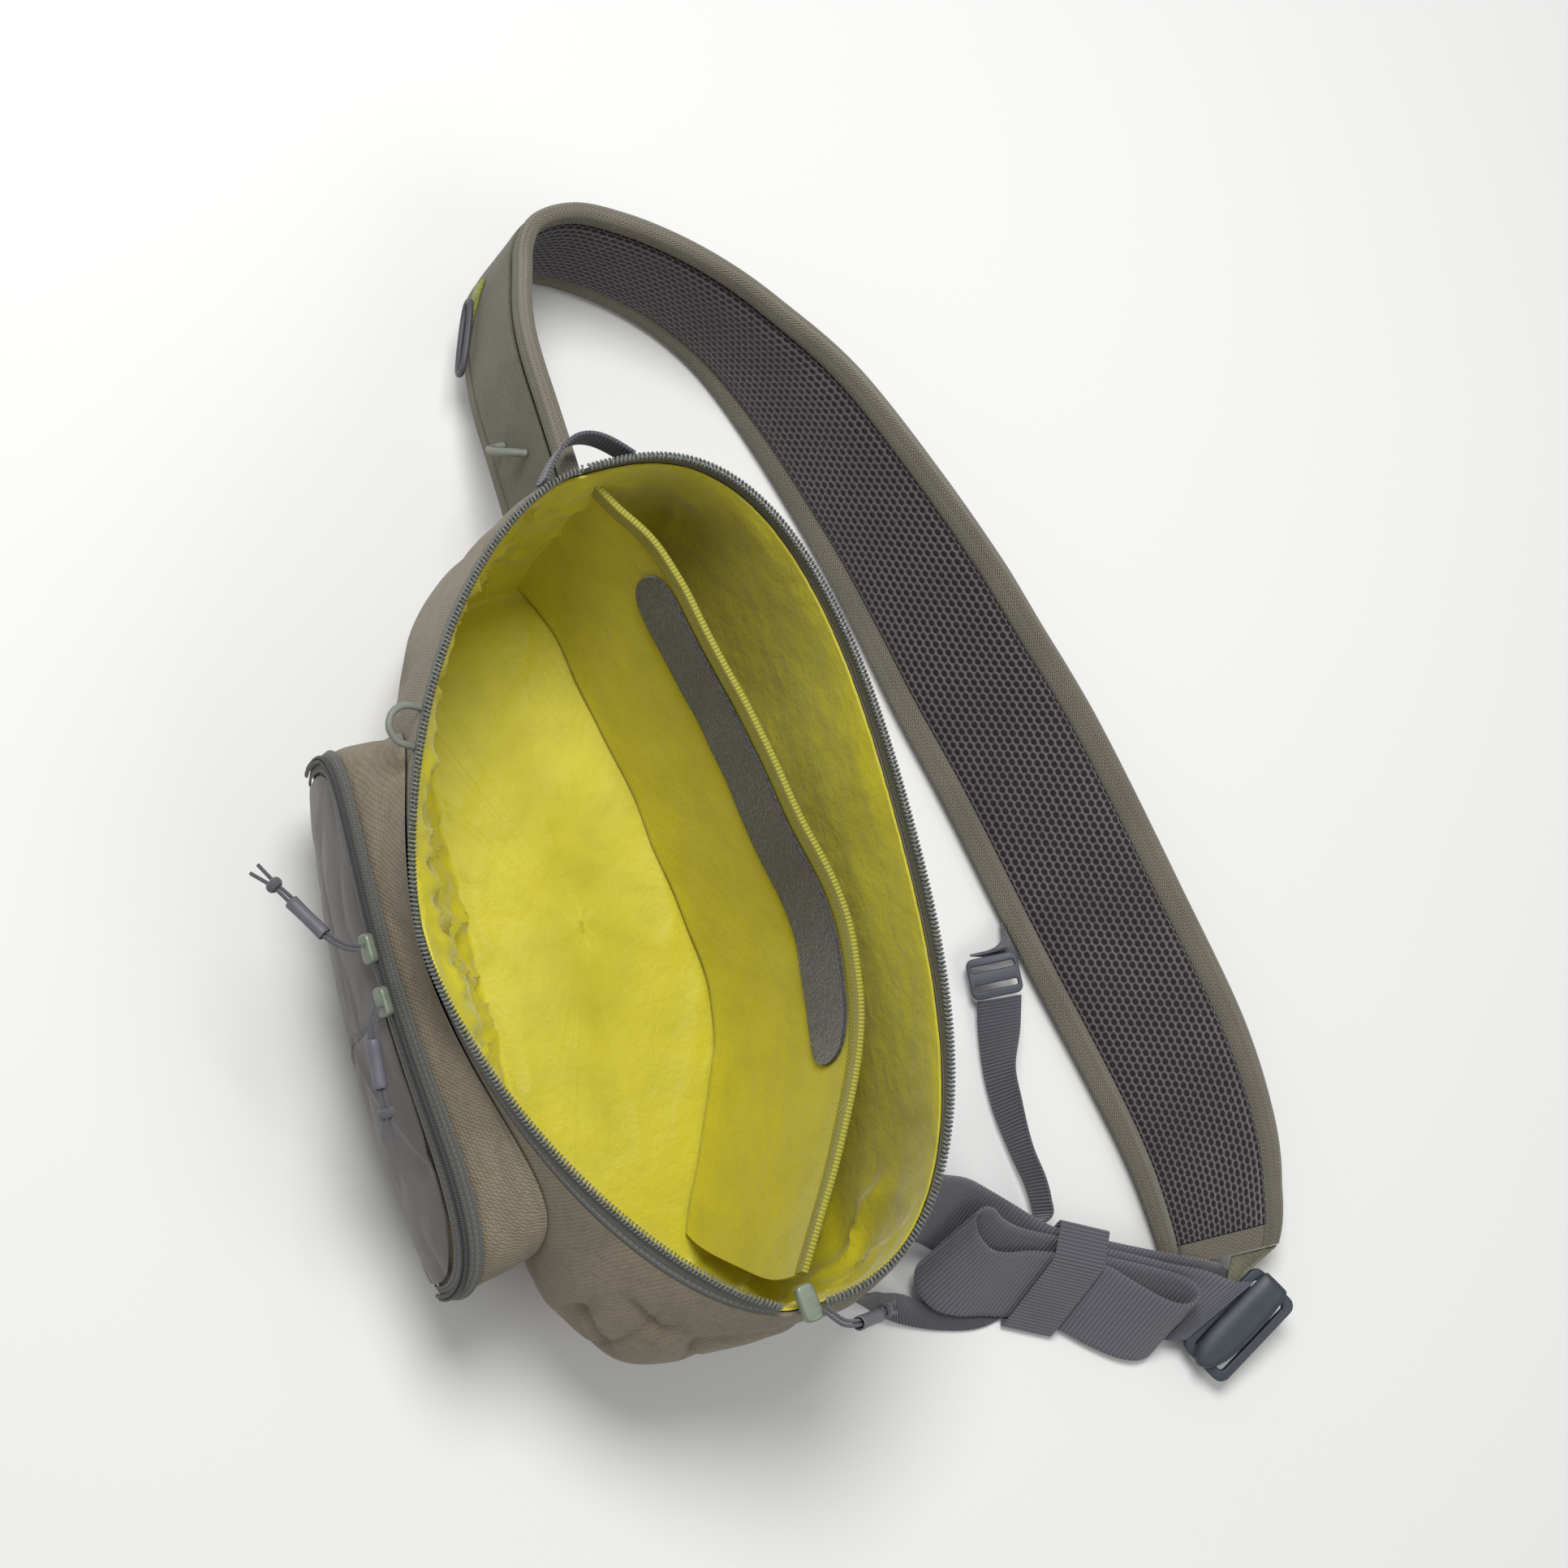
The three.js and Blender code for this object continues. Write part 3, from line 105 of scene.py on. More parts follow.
DIVIDER_EDGE = rows("along across", [
    (-0.880, 0.24),
    (-0.815, 0.34),
    (-0.740, 0.45),
    (-0.640, 0.53),
    (-0.500, 0.63),
    (-0.340, 0.73),
    (-0.160, 0.83),
    (0.040, 0.91),
    (0.220, 0.94),
    (0.380, 0.89),
    (0.520, 0.76),
    (0.680, 0.56),
    (0.800, 0.37),
    (0.880, 0.25),
])

POCKET_LEVELS = rows("left right top foot out", [
    (0.460, 0.430, 1.080, 0.110, 0.00),
    (0.462, 0.452, 1.040, 0.110, 0.42),
    (0.460, 0.465, 0.950, 0.125, 0.88),
    (0.436, 0.440, 0.850, 0.160, 0.98),
    (0.390, 0.390, 0.800, 0.230, 1.00),
    (0.260, 0.260, 0.700, 0.350, 1.00),
    (0.120, 0.120, 0.600, 0.460, 1.00),
])

STRAP_ROUTE = rows("x y z lean width skew", [
    (-0.955, 0.030, 0.590, -5, 1.00, 0),
    (-1.080, 0.036, 0.500, -5, 1.00, 0),
    (-1.220, 0.052, 0.350, -5, 1.00, 0),
    (-1.335, 0.085, 0.200, -5, 1.00, 0),
    (-1.440, 0.122, 0.080, -6, 1.00, 0),
    (-1.520, 0.170, 0.020, -5, 1.00, 0),
    (-1.566, 0.250, 0.010, -2, 1.00, 0),
    (-1.558, 0.365, 0.010, 1, 1.00, 0),
    (-1.510, 0.490, 0.010, 2, 1.00, 0),
    (-1.440, 0.610, 0.010, 3, 1.00, 0),
    (-1.350, 0.715, 0.010, 5, 1.00, 0),
    (-1.230, 0.805, 0.010, 9, 1.00, 0),
    (-1.030, 0.895, 0.010, 19, 1.00, 0),
    (-0.740, 0.995, 0.010, 28, 1.00, 0),
    (-0.520, 1.050, 0.010, 37, 1.00, 0),
    (-0.325, 1.095, 0.010, 45, 0.99, 0),
    (-0.060, 1.170, 0.010, 55, 0.98, 0),
    (0.335, 1.270, 0.010, 63, 0.97, 0),
    (0.690, 1.372, 0.010, 68, 0.94, 0),
    (0.900, 1.423, 0.010, 71, 0.87, 0),
    (1.060, 1.440, 0.020, 74, 0.77, 1),
    (1.161, 1.440, 0.030, 75, 0.66, -2),
])

WEBBING_ROUTE = rows("x y z lean heading", [
    (0.806, 0.437, 1.160, 30, 142),
    (0.882, 0.610, 0.720, 42, 140),
    (0.924, 0.708, 0.440, 48, 139),
    (0.975, 0.785, 0.260, 50, 139),
    (1.028, 0.858, 0.160, 50, 139),
    (1.072, 0.915, 0.108, 50, 139),
    (1.114, 0.983, 0.100, 50, 139),
    (1.165, 1.099, 0.100, 50, 139),
    (1.215, 1.215, 0.088, 52, 137),
    (1.259, 1.320, 0.068, 57, 132),
    (1.287, 1.375, 0.056, 67, 127),
    (1.312, 1.420, 0.048, 82, 122),
    (1.363, 1.480, 0.044, 87, 121),
    (1.422, 1.530, 0.048, 88, 121),
])

SURPLUS_ROUTE = rows("x y z lean heading", [
    (1.331, 1.430, 0.350, 74, 116),
    (1.321, 1.383, 0.240, 67, 120),
    (1.291, 1.335, 0.140, 56, 131),
    (1.264, 1.280, 0.100, 50, 138),
    (1.230, 1.204, 0.100, 50, 139),
    (1.177, 1.083, 0.100, 50, 139),
    (1.120, 0.955, 0.100, 50, 139),
    (1.072, 0.850, 0.150, 49, 136),
    (1.025, 0.785, 0.240, 47, 131),
    (0.985, 0.750, 0.320, 46, 128),
    (0.968, 0.718, 0.360, 45, 126),
    (0.981, 0.688, 0.360, 46, 126),
    (1.004, 0.677, 0.320, 49, 125),
    (1.036, 0.682, 0.270, 50, 125),
    (1.086, 0.723, 0.180, 51, 129),
    (1.118, 0.790, 0.140, 50, 136),
    (1.135, 0.863, 0.110, 50, 139),
    (1.156, 0.935, 0.100, 50, 139),
    (1.188, 1.006, 0.100, 50, 139),
    (1.219, 1.077, 0.100, 50, 139),
    (1.277, 1.155, 0.100, 48, 139),
    (1.321, 1.222, 0.100, 45, 139),
    (1.344, 1.275, 0.100, 43, 139),
    (1.348, 1.315, 0.100, 43, 139),
    (1.338, 1.337, 0.100, 45, 139),
    (1.312, 1.325, 0.100, 47, 138),
    (1.282, 1.280, 0.100, 48, 138),
    (1.249, 1.205, 0.100, 49, 139),
    (1.197, 1.080, 0.100, 50, 139),
    (1.162, 1.002, 0.100, 50, 139),
])

THIN_ROUTE = rows("x y z lean heading", [
    (0.414, 1.100, 0.160, -62, -97),
    (0.483, 1.083, 0.120, -50, -95),
    (0.581, 1.067, 0.100, -24, -88),
    (0.681, 1.065, 0.100, -20, -70),
    (0.785, 1.079, 0.120, -9, -60),
    (0.859, 1.093, 0.140, -6, -80),
    (0.911, 1.097, 0.150, -3, -100),
    (0.949, 1.093, 0.140, 0, -110),
    (0.983, 1.067, 0.100, 20, -121),
    (1.017, 1.042, 0.060, 46, -121),
    (1.055, 1.015, 0.034, 75, -121),
    (1.105, 0.980, 0.026, 88, -121),
    (1.139, 0.950, 0.026, 88, -125),
    (1.160, 0.905, 0.028, 86, -130),
    (1.162, 0.830, 0.028, 82, -138),
    (1.139, 0.730, 0.032, 75, -150),
    (1.105, 0.640, 0.060, 50, -165),
    (1.063, 0.560, 0.180, 28, -180),
    (1.025, 0.500, 0.440, 15, -185),
    (0.996, 0.440, 0.760, 5, -190),
    (0.946, 0.322, 1.120, 0, -195),
])

for table in (POCKET_LEVELS, STRAP_ROUTE, WEBBING_ROUTE, SURPLUS_ROUTE, THIN_ROUTE):
    count = len(next(iter(table.values())))
    table["at"] = np.linspace(0, 1, count)


def smooth(table, key, column, place):
    """Smooth value of one column at a place given in the key column."""
    x, y = table[key], table[column]
    p = np.clip(np.asarray(place, float), x[0], x[-1])
    n = len(x)
    lo = np.maximum(np.arange(n) - 1, 0)
    hi = np.minimum(np.arange(n) + 1, n - 1)
    slope = (y[hi] - y[lo]) / (x[hi] - x[lo])
    i = np.clip(np.searchsorted(x, p, side="left") - 1, 0, n - 2)
    span = x[i + 1] - x[i]
    t = (p - x[i]) / span
    t2, t3 = t * t, t * t * t
    return ((2 * t3 - 3 * t2 + 1) * y[i] + (t3 - 2 * t2 + t) * span * slope[i]
            + (3 * t2 - 2 * t3) * y[i + 1] + (t3 - t2) * span * slope[i + 1])


def rounded(c, s, power):
    """How far a rounded square reaches along a direction, from its cosine and sine."""
    return (np.abs(c) ** power + np.abs(s) ** power) ** (-1 / power)


def unit(v):
    """The vectors at length 1."""
    return v / np.maximum(np.linalg.norm(v, axis=-1, keepdims=True), 1e-9)


def rim_height(angle):
    """Height of the rim at an angle round the bag: highest at the back."""
    s = np.sin(angle)
    top = np.where(s > 0, RIM_BACK_HEIGHT, RIM_FRONT_HEIGHT)
    return RIM_END_HEIGHT + (top - RIM_END_HEIGHT) * np.where(s > 0, s, s * s)


def body_point(angle, share, inset=0.0):
    """A point of the body wall at an angle and a share of the rim's height, moved in by inset."""
    def get(column):
        return smooth(BODY_LEVELS, "height", column, share)
    c, s = np.cos(angle), np.sin(angle)
    near = 0.5 + 0.5 * c
    half = BAG_DEPTH / 2
    middle = get("shift") * half
    back_power = get("bf") * (1 - near) + get("bn") * near
    front_power = get("ff") * (1 - near) + get("fn") * near
    power = np.where(s > 0, back_power, front_power)
    depth = np.where(s > 0, get("back") * half - middle, get("front") * half) - inset
    reach = np.where(c > 0, get("near"), get("far")) * BAG_LENGTH / 2 - inset
    r = rounded(c, s, power)
    return np.stack([reach * c * r, middle + depth * s * r, rim_height(angle) * share], -1)


def wall_point(x, z, side):
    """The point of the front (-1) or back (1) wall at x and z."""
    x, z = np.broadcast_arrays(np.asarray(x, float), np.asarray(z, float))
    angle = np.full(x.shape, side * math.pi / 2)
    for _ in range(4):
        share = z / rim_height(angle)
        low = np.full(x.shape, 0.0 if side > 0 else -math.pi)
        high = np.full(x.shape, math.pi if side > 0 else 0.0)
        for _ in range(20):
            middle = (low + high) / 2
            positive = body_point(middle, share)[..., 0] > x
            take = positive == (side > 0)
            low = np.where(take, middle, low)
            high = np.where(take, high, middle)
        angle = (low + high) / 2
    return body_point(angle, z / rim_height(angle))


def end_wall_x(y, z, side):
    """The x of the far (-1) or near (1) end wall at y and z."""
    y, z = np.broadcast_arrays(np.asarray(y, float), np.asarray(z, float))
    low = np.full(y.shape, -math.pi / 2 if side > 0 else math.pi / 2)
    high = np.full(y.shape, math.pi / 2 if side > 0 else math.pi * 1.5)
    for _ in range(30):
        middle = (low + high) / 2
        best = body_point(middle, z / rim_height(middle))
        take = (best[..., 1] < y) == (side > 0)
        low = np.where(take, middle, low)
        high = np.where(take, high, middle)
    return best[..., 0]


def wall_grid(side):
    xs, zs = np.arange(-192, 238, 3.0), np.arange(0, 228, 3.0)
    x, z = np.meshgrid(xs, zs, indexing="ij")
    return xs, zs, wall_point(x, z, side)[..., 1]


WALL_GRIDS = {side: wall_grid(side) for side in (-1, 1)}


def wall_y(x, z, side):
    """The y of the bag wall at x and z, read between the points of a fine grid."""
    xs, zs, table = WALL_GRIDS[side]
    x, z = np.broadcast_arrays(np.asarray(x, float), np.asarray(z, float))
    p = np.clip((x - xs[0]) / 3, 0, len(xs) - 1.001)
    q = np.clip((z - zs[0]) / 3, 0, len(zs) - 1.001)
    i, j = p.astype(int), q.astype(int)
    p, q = p - i, q - j
    return ((table[i, j] * (1 - p) + table[i + 1, j] * p) * (1 - q)
            + (table[i, j + 1] * (1 - p) + table[i + 1, j + 1] * p) * q)


def catmull(points, t):
    """Centripetal curve through the points; t runs from 0 to 1."""
    points = np.asarray(points, float)
    n = len(points)
    q = np.clip(np.asarray(t, float), 0, 1) * (n - 1)
    i = np.minimum(q.astype(int), n - 2)
    w = (q - i)[..., None]
    ext = np.vstack([2 * points[0] - points[1], points, 2 * points[-1] - points[-2]])
    p0, p1, p2, p3 = ext[i], ext[i + 1], ext[i + 2], ext[i + 3]
    d = [np.maximum(np.sqrt(np.linalg.norm(b - a, axis=-1, keepdims=True)), 1e-4)
         for a, b in ((p0, p1), (p1, p2), (p2, p3))]
    t1 = ((p1 - p0) / d[0] - (p2 - p0) / (d[0] + d[1]) + (p2 - p1) / d[1]) * d[1]
    t2 = ((p2 - p1) / d[1] - (p3 - p1) / (d[1] + d[2]) + (p3 - p2) / d[2]) * d[1]
    return p1 + t1 * w + (-3 * p1 + 3 * p2 - 2 * t1 - t2) * w ** 2 + (2 * p1 - 2 * p2 + t1 + t2) * w ** 3


def divider(u, v):
    """The divider sheet: u along the bag, v up."""
    edge = np.stack([DIVIDER_EDGE["along"] * BAG_LENGTH / 2, DIVIDER_EDGE["across"] * BAG_DEPTH / 2,
                     np.full(len(DIVIDER_EDGE["along"]), DIVIDER_HEIGHT)], -1)
    top = catmull(edge, u)
    foot = WALL + LINING_WALL + 4
    z = foot + (DIVIDER_HEIGHT - foot) * v

    def ratio(column):
        return smooth(BODY_LEVELS, "height", column, z / RIM_BACK_HEIGHT) / smooth(
            BODY_LEVELS, "height", column, DIVIDER_HEIGHT / RIM_BACK_HEIGHT)
    x = top[..., 0] * np.where(top[..., 0] > 0, ratio("near"), ratio("far")) * 0.985
    return np.stack([x, top[..., 1] * ratio("back"), z + 0 * x], -1)


POCKET_MIDDLE = 0.14 * BAG_LENGTH / 2


def pocket_face_y(x, z):
    """How far out the crowned face of the pocket stands at x and z."""
    off = (x - POCKET_MIDDLE) / (POCKET_LENGTH / 2)
    crown = POCKET_OUT - 0.105 * POCKET_OUT * off * off
    rise = (z - 0.53 * POCKET_HEIGHT) / POCKET_HEIGHT
    back = np.where(rise > 0, (0.62 + 0.42 * off) * rise * rise, 0.75 * rise * rise)
    return -crown + back * POCKET_OUT


def pocket_point(turn, level):
    """The pocket's skin: turn goes round it, level from the bag wall to near the face's middle."""
    def get(column):
        return smooth(POCKET_LEVELS, "at", column, level)
    c, s = np.cos(turn), np.sin(turn)
    r = rounded(c, s, np.where((c * s > 0) & (c > 0), 3.2, 4.2))
    across = np.where(c > 0, get("right"), get("left")) * POCKET_LENGTH
    top, foot = get("top") * POCKET_HEIGHT, get("foot") * POCKET_HEIGHT
    x = POCKET_MIDDLE + across * c * r
    z = (top + foot) / 2 + (top - foot) / 2 * s * r
    wall = wall_y(x, z, -1) - 3 * GAP
    out = get("out")
    return np.stack([x, wall * (1 - out) + pocket_face_y(x, z) * out, z], -1)


def strap_point(u, v):
    """The middle surface of the shoulder strap: u along it, v up from its lower edge."""
    u, v = np.broadcast_arrays(np.asarray(u, float), np.asarray(v, float))

    def at(place):
        return np.stack([smooth(STRAP_ROUTE, "at", k, place) * s for k, s in
                         (("x", BAG_LENGTH / 2), ("y", BAG_DEPTH), ("z", STRAP_WIDTH))], -1)
    foot = at(u)
    along = at(u + 0.004) - at(u - 0.004)
    along[..., 2] = 0
    along = unit(along)
    skew = np.radians(smooth(STRAP_ROUTE, "at", "skew", u))
    ox, oy = -along[..., 1], along[..., 0]
    outward = np.stack([ox * np.cos(skew) - oy * np.sin(skew),
                        ox * np.sin(skew) + oy * np.cos(skew), 0 * ox], -1)
    lean = np.radians(smooth(STRAP_ROUTE, "at", "lean", u))[..., None]
    rise = np.array([0, 0, 1.0]) * np.cos(lean) + outward * np.sin(lean)
    foot[..., 2] += STRAP_THICK / 2 * np.abs(np.sin(lean[..., 0])) + 0.4
    width = smooth(STRAP_ROUTE, "at", "width", u) * STRAP_WIDTH
    p = foot + rise * (width * v)[..., None]
    start = smooth(STRAP_ROUTE, "at", "x", 0.0) * BAG_LENGTH / 2
    near = u < 0.1
    wall = end_wall_x(p[near][:, 1], p[near][:, 2], -1) - 3 * GAP
    p[near, 0] += (wall - start) * (1 - u[near] / 0.1)
    return p


def ribbon(table, width):
    """The surface of a webbing from the table of its route."""
    def surface(u, v):
        u, v = np.broadcast_arrays(np.asarray(u, float), np.asarray(v, float))
        place = np.clip(u, 0, 1)
        lean = np.radians(smooth(table, "at", "lean", place))
        heading = np.radians(smooth(table, "at", "heading", place))
        foot = np.stack([smooth(table, "at", k, place) * s for k, s in
                         (("x", BAG_LENGTH / 2), ("y", BAG_DEPTH), ("z", WEBBING_WIDTH))], -1)
        side = np.sin(lean) * width * v
        across = [side * np.cos(heading), side * np.sin(heading), np.cos(lean) * width * v]
        return foot + np.stack(across, -1)
    return surface


wide = ribbon(WEBBING_ROUTE, WEBBING_WIDTH)
folded = ribbon(SURPLUS_ROUTE, WEBBING_WIDTH)
thin = ribbon(THIN_ROUTE, THIN_WIDTH)


# Meshes
def fog(points, size, seed=0.0, octaves=1):
    """Smooth noise from about -1 to 1 at points in mm; size is how far apart its hills are."""
    flat = np.asarray(points, float).reshape(-1, 3) / size + seed * 17.31
    out = np.zeros(len(flat))
    for k in range(octaves):
        out += np.array([noise.noise(Vector(p)) for p in flat * 2 ** k]) / 2 ** k
    return out.reshape(np.asarray(points).shape[:-1])


def lattice(nu, nv, wrap_u=False, wrap_v=False):
    """Faces of a grid of points, and where their corners are in its grid of UVs."""
    i = np.arange(nu if wrap_u else nu - 1)
    j = np.arange(nv if wrap_v else nv - 1)
    a, b = np.meshgrid(i, j, indexing="ij")
    corners = [(a, b), (a + 1, b), (a + 1, b + 1), (a, b + 1)]
    vert = np.stack([(p % nu) * nv + (q % nv) for p, q in corners], -1).reshape(-1, 4)
    wide_v = nv + (1 if wrap_v else 0)
    tex = np.stack([p * wide_v + q for p, q in corners], -1).reshape(-1, 4)
    return vert, tex


def make(name, verts, faces, uv_corners, finish, node=None, sharp=50):
    """A named piece of the bag from points in mm, its faces and the UV of every corner, in mm."""
    mesh = bpy.data.meshes.new(name)
    mesh.from_pydata((np.asarray(verts) / 1000).tolist(), [], faces)
    layer = mesh.uv_layers.new(name="UVMap")
    layer.data.foreach_set("uv", np.asarray(uv_corners, np.float32).ravel())
    mesh.shade_smooth()
    mesh.set_sharp_from_angle(angle=math.radians(sharp))
    obj = bpy.data.objects.new(name, mesh)
    bpy.context.scene.collection.objects.link(obj)
    return settle(obj, finish, node if node is not None else name)


def settle(obj, finish, node):
    """Gives a piece its finish, hangs it under the root and hides the imported pieces of the frame it stands
    for.
    """
    obj.data.materials.clear()
    obj.data.materials.append(finish.material)
    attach(obj, "root")
    if node:
        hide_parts(*([node] if isinstance(node, str) else node))
    return obj


def skin(name, rings, uv, finish, node=None, wrap_u=False, wrap_v=True, caps="strip", sharp=50):
    """A closed piece from rings of points; the end rings are filled by strips or by one face."""
    nu, nv = rings.shape[:2]
    vert, tex = lattice(nu, nv, wrap_u, wrap_v)
    faces = vert.tolist()
    corners = list(uv.reshape(-1, 2)[tex.ravel()])
    wide_v = nv + (1 if wrap_v else 0)
    for row, turned in ((0, True), (nu - 1, False)):
        if wrap_u or caps is None:
            continue
        if caps == "fan":
            order = list(range(nv))
            fill = [order[::-1] if turned else order]
        else:
            fill = [[i, i + 1, nv - 2 - i, nv - 1 - i] for i in range(nv // 2 - 1)]
            fill = [f[::-1] if turned else f for f in fill]
        for f in fill:
            faces.append([row * nv + k for k in f])
            corners.extend(uv.reshape(-1, 2)[row * wide_v + k] for k in f)
    # The sides face out of the body.
    pts = rings.reshape(-1, 3)
    a, b, c, d = (pts[vert[:, k]] for k in range(4))
    middle = pts.mean(0)
    volume = (np.einsum("ij,ij->i", a - middle, np.cross(b - middle, c - middle))
              + np.einsum("ij,ij->i", a - middle, np.cross(c - middle, d - middle))).sum()
    obj = make(name, pts, faces, np.array(corners), finish, node, sharp=sharp)
    if volume < 0:
        obj.data.flip_normals()
    return obj


def normals_of(points, wrap=False):
    """Normals of a grid of points."""
    if wrap:
        du = np.roll(points, -1, 0) - np.roll(points, 1, 0)
    else:
        du = np.gradient(points, axis=0)
    return unit(np.cross(du, np.gradient(points, axis=1)))


def run_of(points, axis):
    """Length along a grid of points, in mm, as its mean over the other direction."""
    step = np.linalg.norm(np.diff(points, axis=axis), axis=-1).mean(1 - axis)
    return np.concatenate([[0], np.cumsum(step)])


def slab(name, surface, us, vs, low, high, finish, node=None, wrap=False, edge=2, bulge=0.6):
    """A layer of cloth on a surface between two offsets, with rounded long edges."""
    U, V = np.meshgrid(us, vs, indexing="ij")
    P = surface(U, V)
    N = normals_of(P, wrap)
    lo = low(U, V) if callable(low) else np.full(U.shape, float(low))
    hi = high(U, V) if callable(high) else np.full(U.shape, float(high))
    top, foot = P + N * hi[..., None], P + N * lo[..., None]
    along_v = run_of(P, 1)

    def arc(column, beside):
        middle = (top[:, column] + foot[:, column]) / 2
        half = ((hi - lo)[:, column] / 2)[:, None]
        out = unit(P[:, column] - P[:, beside])
        turns = [math.pi * k / (edge + 1) for k in range(1, edge + 1)]
        return [middle + N[:, column] * half * math.cos(t) + out * half * bulge * math.sin(t) for t in turns]
    far, near = arc(-1, -2), arc(0, 1)
    near = near[::-1]
    h = edge // 2
    cols = near[edge - h:] + [top[:, j] for j in range(len(vs))] + far + \
        [foot[:, j] for j in range(len(vs) - 1, -1, -1)] + near[:edge - h]
    rings = np.stack(cols, 1)
    r = float(np.mean(hi - lo)) / 2
    half_line = np.concatenate([[-r] * h, along_v, [along_v[-1] + r] * h])
    line = np.concatenate([half_line, half_line[::-1], half_line[:1]])
    along_u = run_of(P, 0)
    if wrap:
        along_u = np.append(along_u, along_u[-1] + np.linalg.norm(P[0] - P[-1], axis=-1).mean())
    uv = np.stack(np.meshgrid(along_u, line, indexing="ij"), -1)
    return skin(name, rings, uv, finish, node, wrap_u=wrap)


def sweep(name, path, radius, finish, node=None, sides=12, closed=False, up=None, ends=4, profile=None):
    """A round bar, or one with a profile of its own, along a path, with rounded ends."""
    path = np.asarray(path, float)
    n = len(path)
    if closed:
        along = unit(np.roll(path, -1, 0) - np.roll(path, 1, 0))
    else:
        along = unit(np.gradient(path, axis=0))
    if up is None:
        first = np.cross(along[0], [0.31, 0.2, 0.93])
        side = [first / np.linalg.norm(first)]
        for k in range(1, n):
            s = side[-1] - along[k] * np.dot(side[-1], along[k])
            side.append(s / np.linalg.norm(s))
        side = np.array(side)
    else:
        side = unit(np.cross(np.broadcast_to(up, path.shape), along))
    rise = np.cross(along, side)
    turn = np.linspace(0, 2 * math.pi, sides, endpoint=False)
    if profile is None:
        profile = np.stack([np.cos(turn), np.sin(turn)], -1)
    radii = np.broadcast_to(np.asarray(radius, float), (n,)).copy()
    centres, sd, rs, rad = path, side, rise, radii
    if not closed and ends:
        lead = np.sin(np.linspace(0.25, 1, ends) * math.pi / 2)
        back = 1 - np.cos(np.linspace(0.25, 1, ends) * math.pi / 2)
        reach = 0.5 * radii[0]
        head = path[0] - along[0] * (reach * (1 - back))[:, None]
        reach = 0.5 * radii[-1]
        tail = (path[-1] + along[-1] * (reach * (1 - back))[:, None])[::-1]
        centres = np.vstack([head, path, tail])
        sd = np.vstack([np.repeat(side[:1], ends, 0), side, np.repeat(side[-1:], ends, 0)])
        rs = np.vstack([np.repeat(rise[:1], ends, 0), rise, np.repeat(rise[-1:], ends, 0)])
        rad = np.concatenate([radii[0] * lead, radii, radii[-1] * lead[::-1]])
    rings = centres[:, None] + rad[:, None, None] * (
        sd[:, None] * profile[None, :, :1] + rs[:, None] * profile[None, :, 1:])
    line = np.concatenate([[0], np.cumsum(np.linalg.norm(np.diff(centres, axis=0), axis=1))])
    if closed:
        line = np.append(line, line[-1] + np.linalg.norm(centres[0] - centres[-1]))
    loop = np.vstack([profile, profile[:1]])
    girth = np.concatenate([[0], np.cumsum(np.linalg.norm(np.diff(loop, axis=0), axis=1))]) * radii.mean()
    uv = np.stack(np.meshgrid(line, girth, indexing="ij"), -1)
    return skin(name, rings, uv, finish, node, wrap_u=closed, caps="fan")


def outline_box(a, b, corner, each=5):
    """Rounded rectangle about the middle, a and b its half sizes."""
    pts = []
    for cx, cy, start in ((a - corner, -b + corner, -90), (a - corner, b - corner, 0),
                          (-a + corner, b - corner, 90), (-a + corner, -b + corner, 180)):
        for k in range(each + 1):
            t = math.radians(start + 90 * k / each)
            pts.append((cx + corner * math.cos(t), cy + corner * math.sin(t)))
    return np.array(pts)


def plate(name, outlines, thick, bevel, finish, node, origin, along, up):
    """A flat moulded piece from its outline and holes, with rounded edges, set in place."""
    curve = bpy.data.curves.new(name, "CURVE")
    curve.dimensions = "2D"
    curve.fill_mode = "BOTH"
    for outline in outlines:
        spline = curve.splines.new("POLY")
        spline.points.add(len(outline) - 1)
        for point, (x, y) in zip(spline.points, outline):
            point.co = (x / 1000, y / 1000, 0, 1)
        spline.use_cyclic_u = True
    curve.extrude = (thick / 2 - bevel) / 1000
    curve.bevel_depth = bevel / 1000
    curve.bevel_resolution = 3
    curve.offset = -bevel / 1000
    holder = bpy.data.objects.new(name + "_outline", curve)
    bpy.context.scene.collection.objects.link(holder)
    bpy.context.view_layer.update()
    graph = bpy.context.evaluated_depsgraph_get()
    mesh = bpy.data.meshes.new_from_object(holder.evaluated_get(graph))
    bpy.data.objects.remove(holder)
    bm = bmesh.new()
    bm.from_mesh(mesh)
    bmesh.ops.remove_doubles(bm, verts=bm.verts, dist=0.00002)
    bmesh.ops.recalc_face_normals(bm, faces=bm.faces)
    bm.to_mesh(mesh)
    bm.free()
    x = unit(np.asarray(along, float))
    y = unit(np.cross(np.asarray(up, float), x))
    z = np.cross(x, y)
    turned = Matrix(np.stack([x, y, z], 1).tolist()).to_4x4()
    mesh.transform(Matrix.Translation(Vector(np.asarray(origin) / 1000)) @ turned)
    mesh.shade_smooth()
    mesh.set_sharp_from_angle(angle=math.radians(40))
    mesh.name = name
    obj = bpy.data.objects.new(name, mesh)
    bpy.context.scene.collection.objects.link(obj)
    return settle(obj, finish, node)


